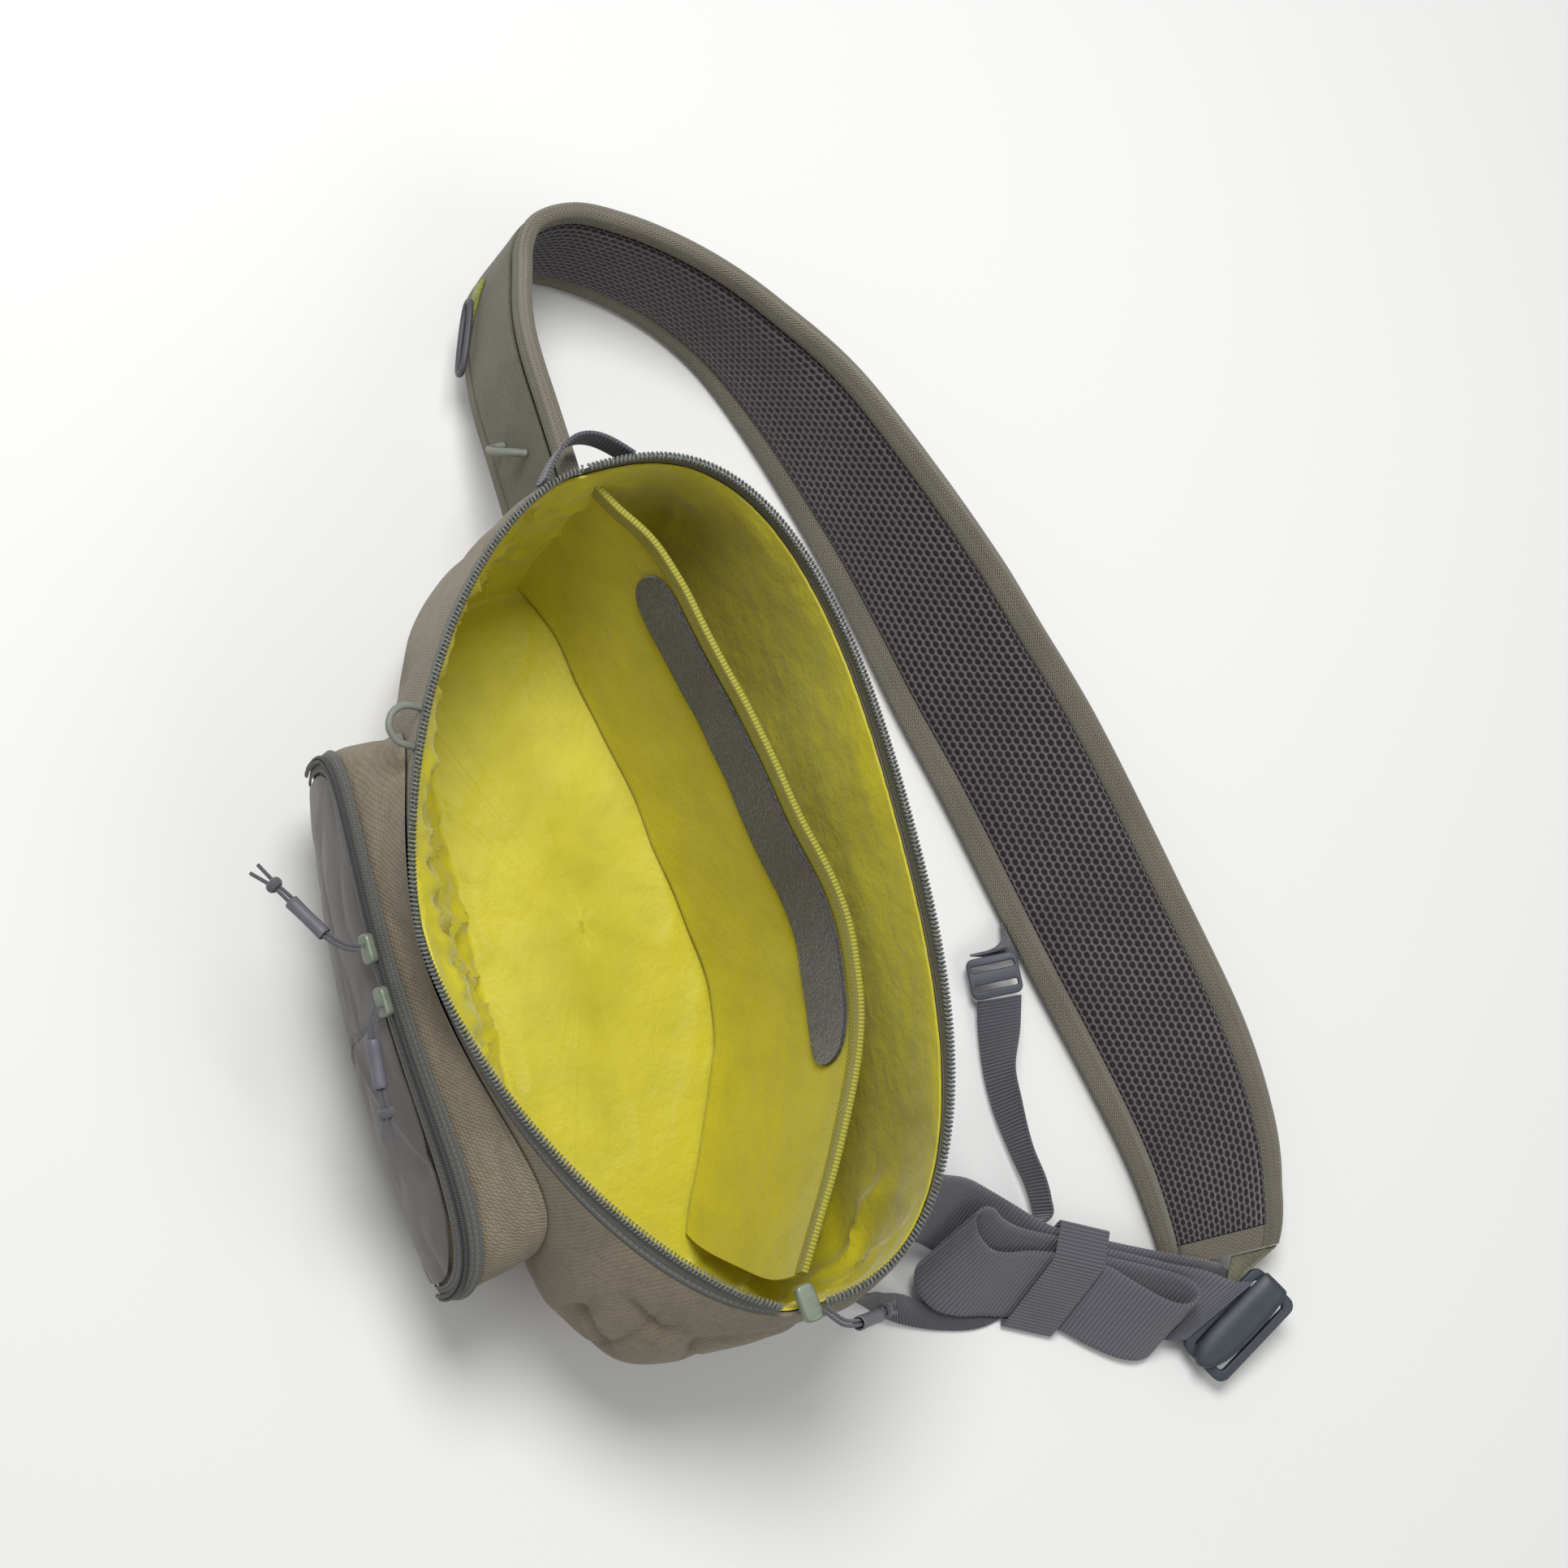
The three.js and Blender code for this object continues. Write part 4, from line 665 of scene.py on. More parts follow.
# Finishes
class Value:
    """A number worked out inside a material."""

    def __init__(self, tree, socket):
        self.tree = tree
        self.socket = socket

    def op(self, kind, *others):
        node = self.tree.nodes.new("ShaderNodeMath")
        node.operation = kind
        for socket, v in zip(node.inputs, (self, *others)):
            if isinstance(v, Value):
                self.tree.links.new(v.socket, socket)
            else:
                socket.default_value = v
        return Value(self.tree, node.outputs[0])

    def __add__(self, o):
        return self.op("ADD", o)

    def __sub__(self, o):
        return self.op("SUBTRACT", o)

    def __mul__(self, o):
        return self.op("MULTIPLY", o)

    def __truediv__(self, o):
        return self.op("DIVIDE", o)

    def wave(self, period, shift=0.0):
        """From 0 to 1 and back in every period."""
        return (self * (2 * math.pi / period) + shift).op("SINE") * 0.5 + 0.5

    def abs(self):
        return self.op("ABSOLUTE")

    def fract(self):
        return self.op("FRACT")

    def ramp(self, low, high):
        """0 below low, 1 above high, smooth between; turned round where high is the lower one."""
        node = self.tree.nodes.new("ShaderNodeMapRange")
        node.interpolation_type = "SMOOTHSTEP"
        self.tree.links.new(self.socket, node.inputs["Value"])
        ends = (low, high, 0, 1) if low < high else (high, low, 1, 0)
        for key, v in zip(("From Min", "From Max", "To Min", "To Max"), ends):
            node.inputs[key].default_value = v
        return Value(self.tree, node.outputs["Result"])


class Finish:
    """A procedural material with its own slot name."""

    def __init__(self, slot, color, rough, name=None, sheen=0.0, coat=0.0, metal=0.0):
        self.slot = slot
        self.material = bpy.data.materials.new(name or slot)
        self.material.use_nodes = True
        self.tree = self.material.node_tree
        self.shader = self.tree.nodes["Principled BSDF"]
        self.shader.inputs["Roughness"].default_value = rough
        self.shader.inputs["Metallic"].default_value = metal
        self.shader.inputs["Sheen Weight"].default_value = sheen
        self.shader.inputs["Sheen Roughness"].default_value = 0.4
        self.shader.inputs["Coat Weight"].default_value = coat
        self.shader.inputs["Specular IOR Level"].default_value = 0.35
        self.color = (*color, 1)
        self.socket = None
        self.heights = []
        where = self.tree.nodes.new("ShaderNodeTexCoord")
        split = self.tree.nodes.new("ShaderNodeSeparateXYZ")
        self.tree.links.new(where.outputs["UV"], split.inputs[0])
        self.where = where.outputs["Object"]
        self.u = Value(self.tree, split.outputs[0])
        self.v = Value(self.tree, split.outputs[1])

    def noise(self, size, detail=3.0, rough=0.55, stretch=None):
        node = self.tree.nodes.new("ShaderNodeTexNoise")
        source = self.where
        if stretch:
            mapping = self.tree.nodes.new("ShaderNodeMapping")
            mapping.inputs["Scale"].default_value = stretch
            self.tree.links.new(source, mapping.inputs["Vector"])
            source = mapping.outputs["Vector"]
        self.tree.links.new(source, node.inputs["Vector"])
        node.inputs["Scale"].default_value = 1000 / size
        node.inputs["Detail"].default_value = detail
        node.inputs["Roughness"].default_value = rough
        return Value(self.tree, node.outputs["Fac"])

    def paint(self, color, share):
        """Lays another colour over the one so far where share is 1."""
        node = self.tree.nodes.new("ShaderNodeMix")
        node.data_type = "RGBA"
        inputs = [s for s in node.inputs if s.type == "RGBA"]
        factor = node.inputs[0]
        self.tree.links.new(share.socket, factor)
        if self.socket is None:
            inputs[0].default_value = self.color
        else:
            self.tree.links.new(self.socket, inputs[0])
        inputs[1].default_value = (*color, 1)
        self.socket = [s for s in node.outputs if s.type == "RGBA"][0]
        return self

    def shade(self, share, dark=0.8):
        """Makes the colour so far darker where share is 1."""
        node = self.tree.nodes.new("ShaderNodeMix")
        node.data_type = "RGBA"
        node.blend_type = "MULTIPLY"
        inputs = [s for s in node.inputs if s.type == "RGBA"]
        self.tree.links.new(share.socket, node.inputs[0])
        if self.socket is None:
            inputs[0].default_value = self.color
        else:
            self.tree.links.new(self.socket, inputs[0])
        inputs[1].default_value = (dark, dark, dark, 1)
        self.socket = [s for s in node.outputs if s.type == "RGBA"][0]
        return self

    def relief(self, height, depth):
        """Adds a bump of that depth in mm."""
        self.heights.append((height, depth))
        return self

    def done(self, rough_by=None):
        before = None
        for height, depth in self.heights:
            node = self.tree.nodes.new("ShaderNodeBump")
            node.inputs["Strength"].default_value = 1.0
            node.inputs["Distance"].default_value = depth / 1000
            self.tree.links.new(height.socket, node.inputs["Height"])
            if before is not None:
                self.tree.links.new(before, node.inputs["Normal"])
            before = node.outputs["Normal"]
        if before is not None:
            self.tree.links.new(before, self.shader.inputs["Normal"])
        if self.socket is None:
            self.shader.inputs["Base Color"].default_value = self.color
        else:
            self.tree.links.new(self.socket, self.shader.inputs["Base Color"])
        if rough_by is not None:
            self.tree.links.new(rough_by.socket, self.shader.inputs["Roughness"])
        return self


def woven(slot, color, rough, period=1.4, depth=0.25, name=None, sheen=0.15):
    """Plain weave: threads of both directions go over and under each other."""
    f = Finish(slot, color, rough, name, sheen=sheen)
    over = ((f.u * (math.pi / period)).op("SINE") * (f.v * (math.pi / period)).op("SINE")).ramp(-0.3, 0.3)
    weave = f.u.wave(period) * over + f.v.wave(period) * (over * -1 + 1)
    f.relief(weave, depth)
    # Painted shade: the colour is darker in the low hollows of the weave, where its bump sinks.
    f.shade(weave.ramp(0.45, 0.0), 0.72)
    f.shade(f.noise(45, 3).ramp(0.35, 0.7), 0.86)
    f.shade(f.noise(3.5, 2).ramp(0.4, 0.75), 0.85)
    return f


def stitches(f, at, period=3.4, color=(0.5, 0.46, 0.33), wide=0.45, depth=0.35):
    """A row of stitches along u at a distance from the lower edge."""
    row = (f.v - at).abs().ramp(wide * 1.5, wide * 0.6)
    dash = f.u.wave(period).ramp(0.12, 0.35)
    f.paint(color, row * dash)
    f.relief((f.v - at).abs().ramp(0.2, 1.6), depth)
    return f


FABRIC = (0.262, 0.223, 0.156)
body_finish = woven("body_fabric", FABRIC, 0.85).done()
pocket_finish = woven("body_fabric", FABRIC, 0.85, name="pocket_fabric").done()
strap_finish = woven("body_fabric", (0.158, 0.155, 0.104), 0.85, name="strap_fabric").done()
tab_finish = woven("body_fabric", (0.188, 0.182, 0.122), 0.8, name="tab_fabric", period=1.6).done()

lining_finish = Finish("lining_nylon", (0.60, 0.54, 0.03), 0.42, sheen=0.25)
lining_finish.relief(lining_finish.noise(16, 4, 0.6), 1.6)
lining_finish.relief(lining_finish.u.wave(0.9) * lining_finish.v.wave(0.9), 0.05)
lining_finish.shade(lining_finish.noise(30, 2).ramp(0.35, 0.75), 0.88)
lining_finish.done()
divider_finish = Finish("lining_nylon", (0.60, 0.54, 0.03), 0.40, name="divider_nylon", sheen=0.25)
divider_finish.relief(divider_finish.noise(22, 4, 0.6), 1.8)
divider_finish.relief(divider_finish.u.wave(0.9) * divider_finish.v.wave(0.9), 0.05)
divider_finish.shade(divider_finish.noise(30, 2).ramp(0.35, 0.75), 0.9)
divider_finish.done()

ribbed = Finish("binding_yellow", (0.46, 0.43, 0.06), 0.7, sheen=0.2)
ribs = (ribbed.u + (ribbed.v - 5.5).abs() * 0.8).wave(2.0)
# Painted shade: the binding is darker in the grooves between its ribs.
ribbed.relief(ribs, 0.6).shade(ribs.ramp(0.5, 0.0), 0.6)
ribbed.done()

loops = Finish("loop_fabric", (0.085, 0.084, 0.094), 0.95, sheen=0.5)
# Painted shade: the pile is darker in the hollows of its own bump.
loops.relief(loops.noise(1.6, 3, 0.7), 1.2).shade(loops.noise(1.6, 3, 0.7).ramp(0.6, 0.35), 0.45)
loops.relief(loops.noise(9, 2), 0.6)
loops.done()


def taped(name):
    f = Finish("zip_tape", (0.127, 0.127, 0.122), 0.8, name, sheen=0.15)
    slant = (f.u + f.v.wave(3.2) * 1.2).wave(1.5)
    # Painted shade: the tape is darker in the grooves of its slanted weave.
    f.relief(slant, 0.2).shade(slant.ramp(0.5, 0.0), 0.75)
    return f


rim_tape = stitches(taped("rim_tape"), 2.2, color=(0.2, 0.19, 0.15)).done()
pocket_tape = taped("pocket_tape")
for place in (1.8, 4.4, 12.0, 14.6):
    stitches(pocket_tape, place, color=(0.165, 0.16, 0.135))
pocket_tape.done()
coil_finish = Finish("zip_coil", (0.19, 0.20, 0.185), 0.42)
coil_finish.shade(coil_finish.noise(2.0, 1).ramp(0.4, 0.7), 0.6).done()
coil_dark = Finish("zip_coil", (0.055, 0.058, 0.056), 0.5, name="pocket_coil_nylon")
# Painted shade: the pocket coil is darker in the gaps between its teeth.
coil_dark.relief(coil_dark.u.wave(1.3), 0.3).shade(coil_dark.u.wave(1.3).ramp(0.5, 0), 0.6).done()

coated = Finish("coated_fabric", (0.112, 0.101, 0.097), 0.5, sheen=0.1)
coated.relief(coated.noise(1.3, 2), 0.10).relief(coated.noise(28, 3, 0.5), 1.1)
# Painted shade: a strong dark line along the fold of the pocket face, fading in from 40 to 60 mm up.
fold_shade_x = (coated.v - 94) * -0.14 + 38
coated.shade((coated.u - fold_shade_x).abs().ramp(1.6, 0.3) * coated.v.ramp(40, 60), 0.45)
coated.shade(coated.noise(60, 3).ramp(0.35, 0.75), 0.86).shade(coated.noise(0.9, 1).ramp(0.5, 0.8), 0.85)
coated.done(rough_by=coated.noise(14, 3) * 0.2 + 0.42)

plush = Finish("plush", (0.205, 0.195, 0.242), 0.95, sheen=0.6)
plush.relief(plush.noise(1.8, 3, 0.7), 1.0).relief(plush.noise(12, 2), 1.2)
plush.shade(plush.noise(2.4, 3, 0.7).ramp(0.6, 0.35), 0.62).shade(plush.noise(24, 2).ramp(0.4, 0.7), 0.85)
plush.done()

spacer = Finish("spacer_mesh", (0.150, 0.128, 0.135), 0.8, sheen=0.25)
row = spacer.v / 4.2
across = (spacer.u / 4.9 + (row.op("FLOOR") * 0.5).fract()).fract() - 0.5
up_down = row.fract() - 0.5
wide_share = across * 4.9 / 1.9
high_share = up_down * 4.2 / 1.45
far_off = (wide_share * wide_share + high_share * high_share).op("SQRT")
hole_shade = far_off.ramp(1.18, 0.82)
spacer.shade(spacer.noise(40, 2).ramp(0.35, 0.7), 0.85)
# Painted shade: darker round the rims of the holes.
spacer.shade(far_off.ramp(1.6, 1.15), 0.8)
# Painted shade: the holes are filled with near black, standing in for the shade down inside the mesh.
spacer.paint((0.012, 0.009, 0.010), hole_shade)
spacer.relief(far_off.ramp(0.8, 1.5), 1.1).relief(spacer.noise(1.2, 2), 0.15)
spacer.done()

taupe = Finish("binding_taupe", (0.29, 0.262, 0.196), 0.8, sheen=0.2)
zig = (taupe.u + ((taupe.v / 5.4).fract() - 0.5).abs() * 8.6).wave(2.3)
# Painted shade: the binding is darker in the grooves of its herringbone.
taupe.relief(zig, 0.8).shade(zig.ramp(0.6, 0.0), 0.45)
taupe.shade(taupe.noise(50, 2).ramp(0.35, 0.7), 0.88)
taupe.done()


def ribbed_webbing(name, color, period=2.6, slot="webbing"):
    f = Finish(slot, color, 0.72, name, sheen=0.3)
    rib = f.u.wave(period)
    thread = f.v.wave(0.9)
    f.relief(rib, 0.5).relief(thread * rib, 0.15)
    # Painted shade: darker in the grooves between the ribs and between the threads.
    f.shade(rib.ramp(0.42, 0.0), 0.55).shade(thread.ramp(0.4, 0.0), 0.88)
    f.shade(f.noise(60, 2).ramp(0.35, 0.7), 0.86)
    return f.done()


webbing = ribbed_webbing("webbing", (0.148, 0.148, 0.176))
webbing_thin = ribbed_webbing("webbing_thin", (0.125, 0.127, 0.148), period=2.0)
elastic = ribbed_webbing("elastic", (0.140, 0.142, 0.164), period=2.2, slot="elastic")

slider_metal = Finish("slider_metal", (0.20, 0.235, 0.18), 0.42, coat=0.2, metal=0.25)
slider_metal.shade(slider_metal.noise(4, 2).ramp(0.4, 0.75), 0.85)
slider_metal.relief(slider_metal.noise(2, 2), 0.05).done()


def moulded(slot, color, rough, name=None):
    f = Finish(slot, color, rough, name)
    f.relief(f.noise(0.8, 2), 0.05).shade(f.noise(14, 2).ramp(0.4, 0.7), 0.88)
    return f.done()


buckle_finish = moulded("buckle_plastic", (0.045, 0.054, 0.070), 0.42)
ring_finish = moulded("ring_plastic", (0.085, 0.083, 0.098), 0.45)
arch_finish = moulded("arch_plastic", (0.205, 0.222, 0.188), 0.5)
sleeve_finish = moulded("sleeve_plastic", (0.130, 0.130, 0.150), 0.45)
yellow_tab = woven("tab_yellow", (0.376, 0.402, 0.070), 0.75, period=1.5)
stitches(yellow_tab, 2.0, color=(0.30, 0.33, 0.06))
yellow_tab.done()
braid = Finish("cord", (0.127, 0.127, 0.141), 0.8, sheen=0.3)
cross = (braid.u + braid.v).wave(1.3) * (braid.u - braid.v).wave(1.3)
# Painted shade: the cord is darker in the hollows of its braid.
braid.relief(cross, 0.25).shade(cross.ramp(0.3, 0.0), 0.6).done()

# Camera
camera = bpy.data.objects.new("camera", bpy.data.cameras.new("camera"))
bpy.context.scene.collection.objects.link(camera)
bpy.context.scene.camera = camera
camera.data.lens = 62
camera.data.sensor_width = 36
camera.data.clip_end = 20
right, upward = (0.25755, 0.91505, 0.31040), (-0.96120, 0.20979, 0.17911)
back = (0.09878, -0.34449, 0.93358)
turned = Matrix((right, upward, back)).transposed().to_4x4()
camera.matrix_world = Matrix.Translation((0.102526, -0.392924, 1.450883)) @ turned

# Zip half angles and the rim
SLIDER_TURN = SLIDER_LENGTH / BAG_LENGTH * 2.2
BODY_TOP = 1 - TAPE_HEIGHT / RIM_FRONT_HEIGHT
HALVES = {"back": (SLIDER_TURN, math.pi - 0.012), "front": (math.pi + 0.012, 2 * math.pi - SLIDER_TURN)}


def rim_point(angle, lift, inset):
    """A point of the rim, lifted and moved in."""
    p = body_point(angle, np.ones_like(angle), inset)
    p[..., 2] += lift
    return p


# Body and lining share the same soft dents. The seam of the end panel runs up the body here.
END_SEAM_TOP = 2 * math.pi - 0.385
END_SEAM_SLANT = 0.57


def slope_in(value, low, high):
    """0 below low, 1 above high, smooth between."""
    t = np.clip((value - low) / (high - low), 0, 1)
    return t * t * (3 - 2 * t)


def dent(angle, share):
    """How far the soft wall is pressed in; next to nothing behind the pocket and panel."""
    p = body_point(angle, share)
    front = np.sin(angle) < 0
    free_x = np.where(front, slope_in(p[..., 0], 186, 204) + slope_in(-p[..., 0], 112, 140),
                      slope_in(np.abs(p[..., 0]), 172, 196))
    free = slope_in(BODY_TOP - share, 0.03, 0.22) * slope_in(share, 0.0, 0.1)
    q = p + 10 * np.stack([fog(p, 60, 31), fog(p, 60, 32), fog(p, 60, 33)], -1)
    soft = np.clip(2.0 + fog(p, 60, 1) * 1.8 + fog(p * [1, 1, 0.5], 26, 2) * 0.9, 0.2, 5)
    slanted = np.stack([q[..., 0] * 0.55 + q[..., 2] * 0.45, q[..., 1],
                        q[..., 2] * 0.5 - q[..., 0] * 0.25], -1)
    ridge = np.clip(1 - np.abs(fog(slanted, 34, 34)) * 2.6, 0, 1) ** 2
    end = slope_in(np.cos(angle), 0.25, 0.75)
    off = angle - (END_SEAM_TOP - END_SEAM_SLANT * (1 - share))
    seam = np.exp(-(off / 0.010) ** 2) * 1.8 + np.exp(-(off / 0.07) ** 2) * 1.8
    off = angle - (2 * math.pi - 0.86 - 0.25 * np.sin(share * 9))
    seam += np.exp(-(off / 0.045) ** 2) * 3.6 * slope_in(share, 0.45, 0.6) * slope_in(0.97 - share, 0, 0.12)
    return (soft + ridge * (2.2 + 3.6 * end) + seam) * free * np.clip(0.06 + 0.94 * free_x, 0, 1)


ring_angles = np.linspace(0, 2 * math.pi, 400, endpoint=False)


def wall_rings(shares, extra):
    A, S = np.meshgrid(ring_angles, shares, indexing="ij")
    return body_point(A, S, extra(A, S)).transpose(1, 0, 2)


def ring_uv(rings, up):
    around = np.concatenate([[0], np.cumsum(np.linalg.norm(np.diff(
        np.vstack([rings[len(rings) // 2], rings[len(rings) // 2][:1]]), axis=0), axis=1))])
    return np.stack(np.meshgrid(around, up, indexing="ij"), -1).transpose(1, 0, 2)


def closed_wall(name, outer, inner, floor_z, inner_floor_z, finish, rounds=8, creased=False):
    """A bag wall with its floor: from the middle of the outer floor up, over the rim and down inside."""
    def floor(ring, z, sizes):
        middle = ring.mean(0)
        out = []
        for k in sizes:
            p = middle + (ring - middle) * k
            p[:, 2] = z
            out.append(p)
        return np.array(out)
    shares = np.linspace(0.02, 0.985, rounds)
    parts = [floor(outer[0], floor_z, shares), outer, inner[::-1],
             floor(inner[0], inner_floor_z, shares[::-1])]
    if creased:
        for part in (parts[0], parts[3]):
            q = part + 12 * np.stack([fog(part, 70, 41), fog(part, 70, 42), fog(part, 70, 43)], -1)
            q[..., 2] = 0
            crease = np.clip(1 - np.abs(fog(q * [0.8, 1.2, 1], 60, 45)) * 3.2, 0, 1) ** 2 * 1.3
            lift = fog(q, 80, 44) * 1.2 + 1.2 + crease
            size = shares if part is parts[0] else shares[::-1]
            part[..., 2] += np.clip(lift, 0, 6) * slope_in(1 - size, 0.0, 0.12)[:, None]
    rings = np.vstack(parts)
    up = np.concatenate([[0], np.cumsum(np.linalg.norm(np.diff(rings, axis=0), axis=-1).mean(1))])
    return skin(name, rings, ring_uv(rings, up), finish, caps="fan")


def body_shell():
    """The woven body, with its inner side a wall's thickness further in."""
    outer = wall_rings(np.concatenate([[0, 0.008, 0.018], np.linspace(0.03, BODY_TOP, 66)]), dent)
    inner = wall_rings(np.linspace(0.02, BODY_TOP, 24), lambda a, s: WALL + dent(a, s))
    inner[0, :, 2] = np.maximum(inner[0, :, 2], WALL)
    closed_wall("body_shell", outer, inner, 0.0, WALL, body_finish)


body_shell()


def wrinkle(angle, share):
    """Folds of the lining, on top of the dents of the body."""
    p = body_point(angle, share)
    q = p + 7 * np.stack([fog(p, 40, 3), fog(p, 40, 4), fog(p, 40, 5)], -1)
    a = 1 - np.abs(fog(q * [1, 1, 0.28], 15, 6)) * 2.6
    b = 1 - np.abs(fog(q * [0.8, 1, 0.7], 24, 7)) * 2.4
    front = np.clip(-np.sin(angle) * 2.5 + 0.5, 0, 1)
    size = np.clip((BODY_TOP - share) / 0.07, 0.02, 1) * np.clip(share / 0.06, 0, 1)
    below_tape = np.exp(-((BODY_TOP - 0.03 - share) / 0.03) ** 2)
    gather = (fog(p * [1, 1, 0.12], 4.5, 35) * 0.5 + 0.5) * below_tape * 1.1
    folds = np.clip(a, 0, 1) ** 1.6 * 4.2 + np.clip(b, 0, 1) ** 1.4 * 3.6
    wave = (fog(p * [1, 1, 0.4], 55, 36) + 0.5).clip(0, 1) * 4
    return (folds * (0.10 + 1.2 * front) + wave) * size + gather


def lining():
    """The lining just inside the body, creased on its floor."""
    shares = np.concatenate([[0.016, 0.022], np.linspace(0.03, BODY_TOP, 64)])
    gap = WALL + 0.5
    walls = []
    for inset in (gap, gap + LINING_WALL):
        wall = wall_rings(shares, lambda a, s: inset + dent(a, s) + wrinkle(a, s))
        wall[..., 2] = np.maximum(wall[..., 2], inset)
        walls.append(wall)
    closed_wall("lining", *walls, gap, gap + LINING_WALL, lining_finish, rounds=26, creased=True)


lining()

# Zip on the rim: tapes and coils
COIL_PITCH = 2.15
COIL_WIRE = 0.62
COIL_SIZE = 1.55


def rim_tape_half(side, start, end):
    """The tape of one half of the zip, from the top of the body to the rim."""
    def band(a, v):
        low = body_point(a, np.full_like(a, BODY_TOP), WALL / 2)
        low[..., 2] += 3 * GAP
        return low + (rim_point(a, 0, WALL / 2) - low) * v[..., None]
    slab("zip_tape_" + side, band, np.linspace(start, end, 300), np.linspace(0, 1, 6), -TAPE_THICK / 2,
         TAPE_THICK / 2, rim_tape)


def rim_coil_half(side, start, end):
    """One half's coil: a wire wound round a line that follows the rim."""
    line = rim_point(np.linspace(start, end, 4000), COIL_RADIUS + GAP, WALL / 2)
    run = np.concatenate([[0], np.cumsum(np.linalg.norm(np.diff(line, axis=0), axis=1))])
    turns = run[-1] / COIL_PITCH
    count = int(turns * 9)
    place = np.linspace(0, run[-1], count)
    centre = np.stack([np.interp(place, run, line[:, k]) for k in range(3)], -1)
    along = unit(np.gradient(centre, axis=0))
    out = unit(np.cross(along, [0, 0, 1.0]))
    rise = np.cross(out, along)
    phase = np.linspace(0, turns * 2 * math.pi, count)
    round_line = out * np.cos(phase)[:, None] * 1.05 + rise * np.sin(phase)[:, None]
    sweep("zip_coil_" + side, centre + COIL_SIZE * round_line, COIL_WIRE, coil_finish, sides=5, ends=1)


for side, (start, end) in HALVES.items():
    rim_tape_half(side, start, end)
    rim_coil_half(side, start, end)

# Inner pocket

def soft_divider(u, v):
    """The divider with its soft waves, still at both its ends."""
    p = divider(u, v)
    q = p + 8 * np.stack([fog(p, 50, 8), fog(p, 50, 9), fog(p, 50, 10)], -1)
    small = fog(q * [1, 1, 0.5], 26, 12) * 1.2 * (1 - slope_in(v, 0.55, 0.95) * 0.7)
    wave = fog(q * [1, 1, 0.4], 62, 11) * 4.2 + small
    hold = np.clip(np.minimum(u, 1 - u) * 12, 0, 1)
    p[..., 1] += wave * hold * 0.8
    p[..., 2] += np.where(v > 0.9, fog(p * [1, 1, 0], 45, 13) * 1.2, 0) * hold
    return p


binding_share = 1 - BINDING_HEIGHT / DIVIDER_HEIGHT
pocket_us = np.linspace(0, 1, 260)
inner_pocket = slab("inner_pocket", soft_divider, pocket_us, np.linspace(0, binding_share, 60),
                    -DIVIDER_THICK / 2, DIVIDER_THICK / 2, divider_finish)
binding_half = 1.35 * DIVIDER_THICK
inner_binding = slab("inner_pocket_binding", soft_divider, pocket_us,
                     np.linspace(binding_share + GAP / DIVIDER_HEIGHT, 1, 8), -binding_half, binding_half,
                     ribbed, edge=6)
strip_top = binding_share - LOOP_STRIP_DROP / DIVIDER_HEIGHT
strip_foot = strip_top - LOOP_STRIP_HEIGHT / DIVIDER_HEIGHT


def strip_surface(u, v):
    """The strip on the divider, rounded at both its ends."""
    reach = np.abs(u - 0.47) / 0.27
    half = np.clip(1 - reach ** 14, 0.02, 1) ** 0.5
    middle = (strip_top + strip_foot) / 2
    return soft_divider(u, middle + (v - middle) * half)


STRIP_THICK = 1.6
strip_low = DIVIDER_THICK / 2 + 3 * GAP
loop_strip = slab("loop_strip", strip_surface, np.linspace(0.2, 0.74, 260),
                  np.linspace(strip_foot, strip_top, 22), strip_low, strip_low + STRIP_THICK, loops)
middle_line = soft_divider(pocket_us[:, None], np.array([[0.5]]))[:, 0]
upright = soft_divider(np.array([[0.5]]), np.linspace(0, binding_share, 60)[None])[0]

# Front pocket
turn_list = np.linspace(0, 2 * math.pi, 320, endpoint=False)
POCKET_HOLD = 4 * GAP


def pocket_grid(turns, levels):
    """Points and normals of the pocket's skin."""
    T, L = np.meshgrid(turns, np.clip(levels, 0, 1), indexing="ij")
    inside = np.clip(L, 0.01, 0.99)
    a = pocket_point(T + 0.004, inside) - pocket_point(T - 0.004, inside)
    b = pocket_point(T, inside + 0.004) - pocket_point(T, inside - 0.004)
    n = unit(np.cross(a, b))
    p = pocket_point(T, L)
    return p, n


def pocket_folds(p, level):
    """How far the folds move the pocket's skin, none at the seam with the bag."""
    q = p + 9 * np.stack([fog(p, 55, 14), fog(p, 55, 15), fog(p, 55, 16)], -1)
    soft = fog(q, 48, 17) * 1.7 + (1 - np.abs(fog(q * [0.7, 1, 1], 30, 18)) * 2.2).clip(0, 1) ** 1.5 * 1.5
    return -np.clip(soft + 0.8, 0, 4) * np.clip(level / 0.1, 0, 1)


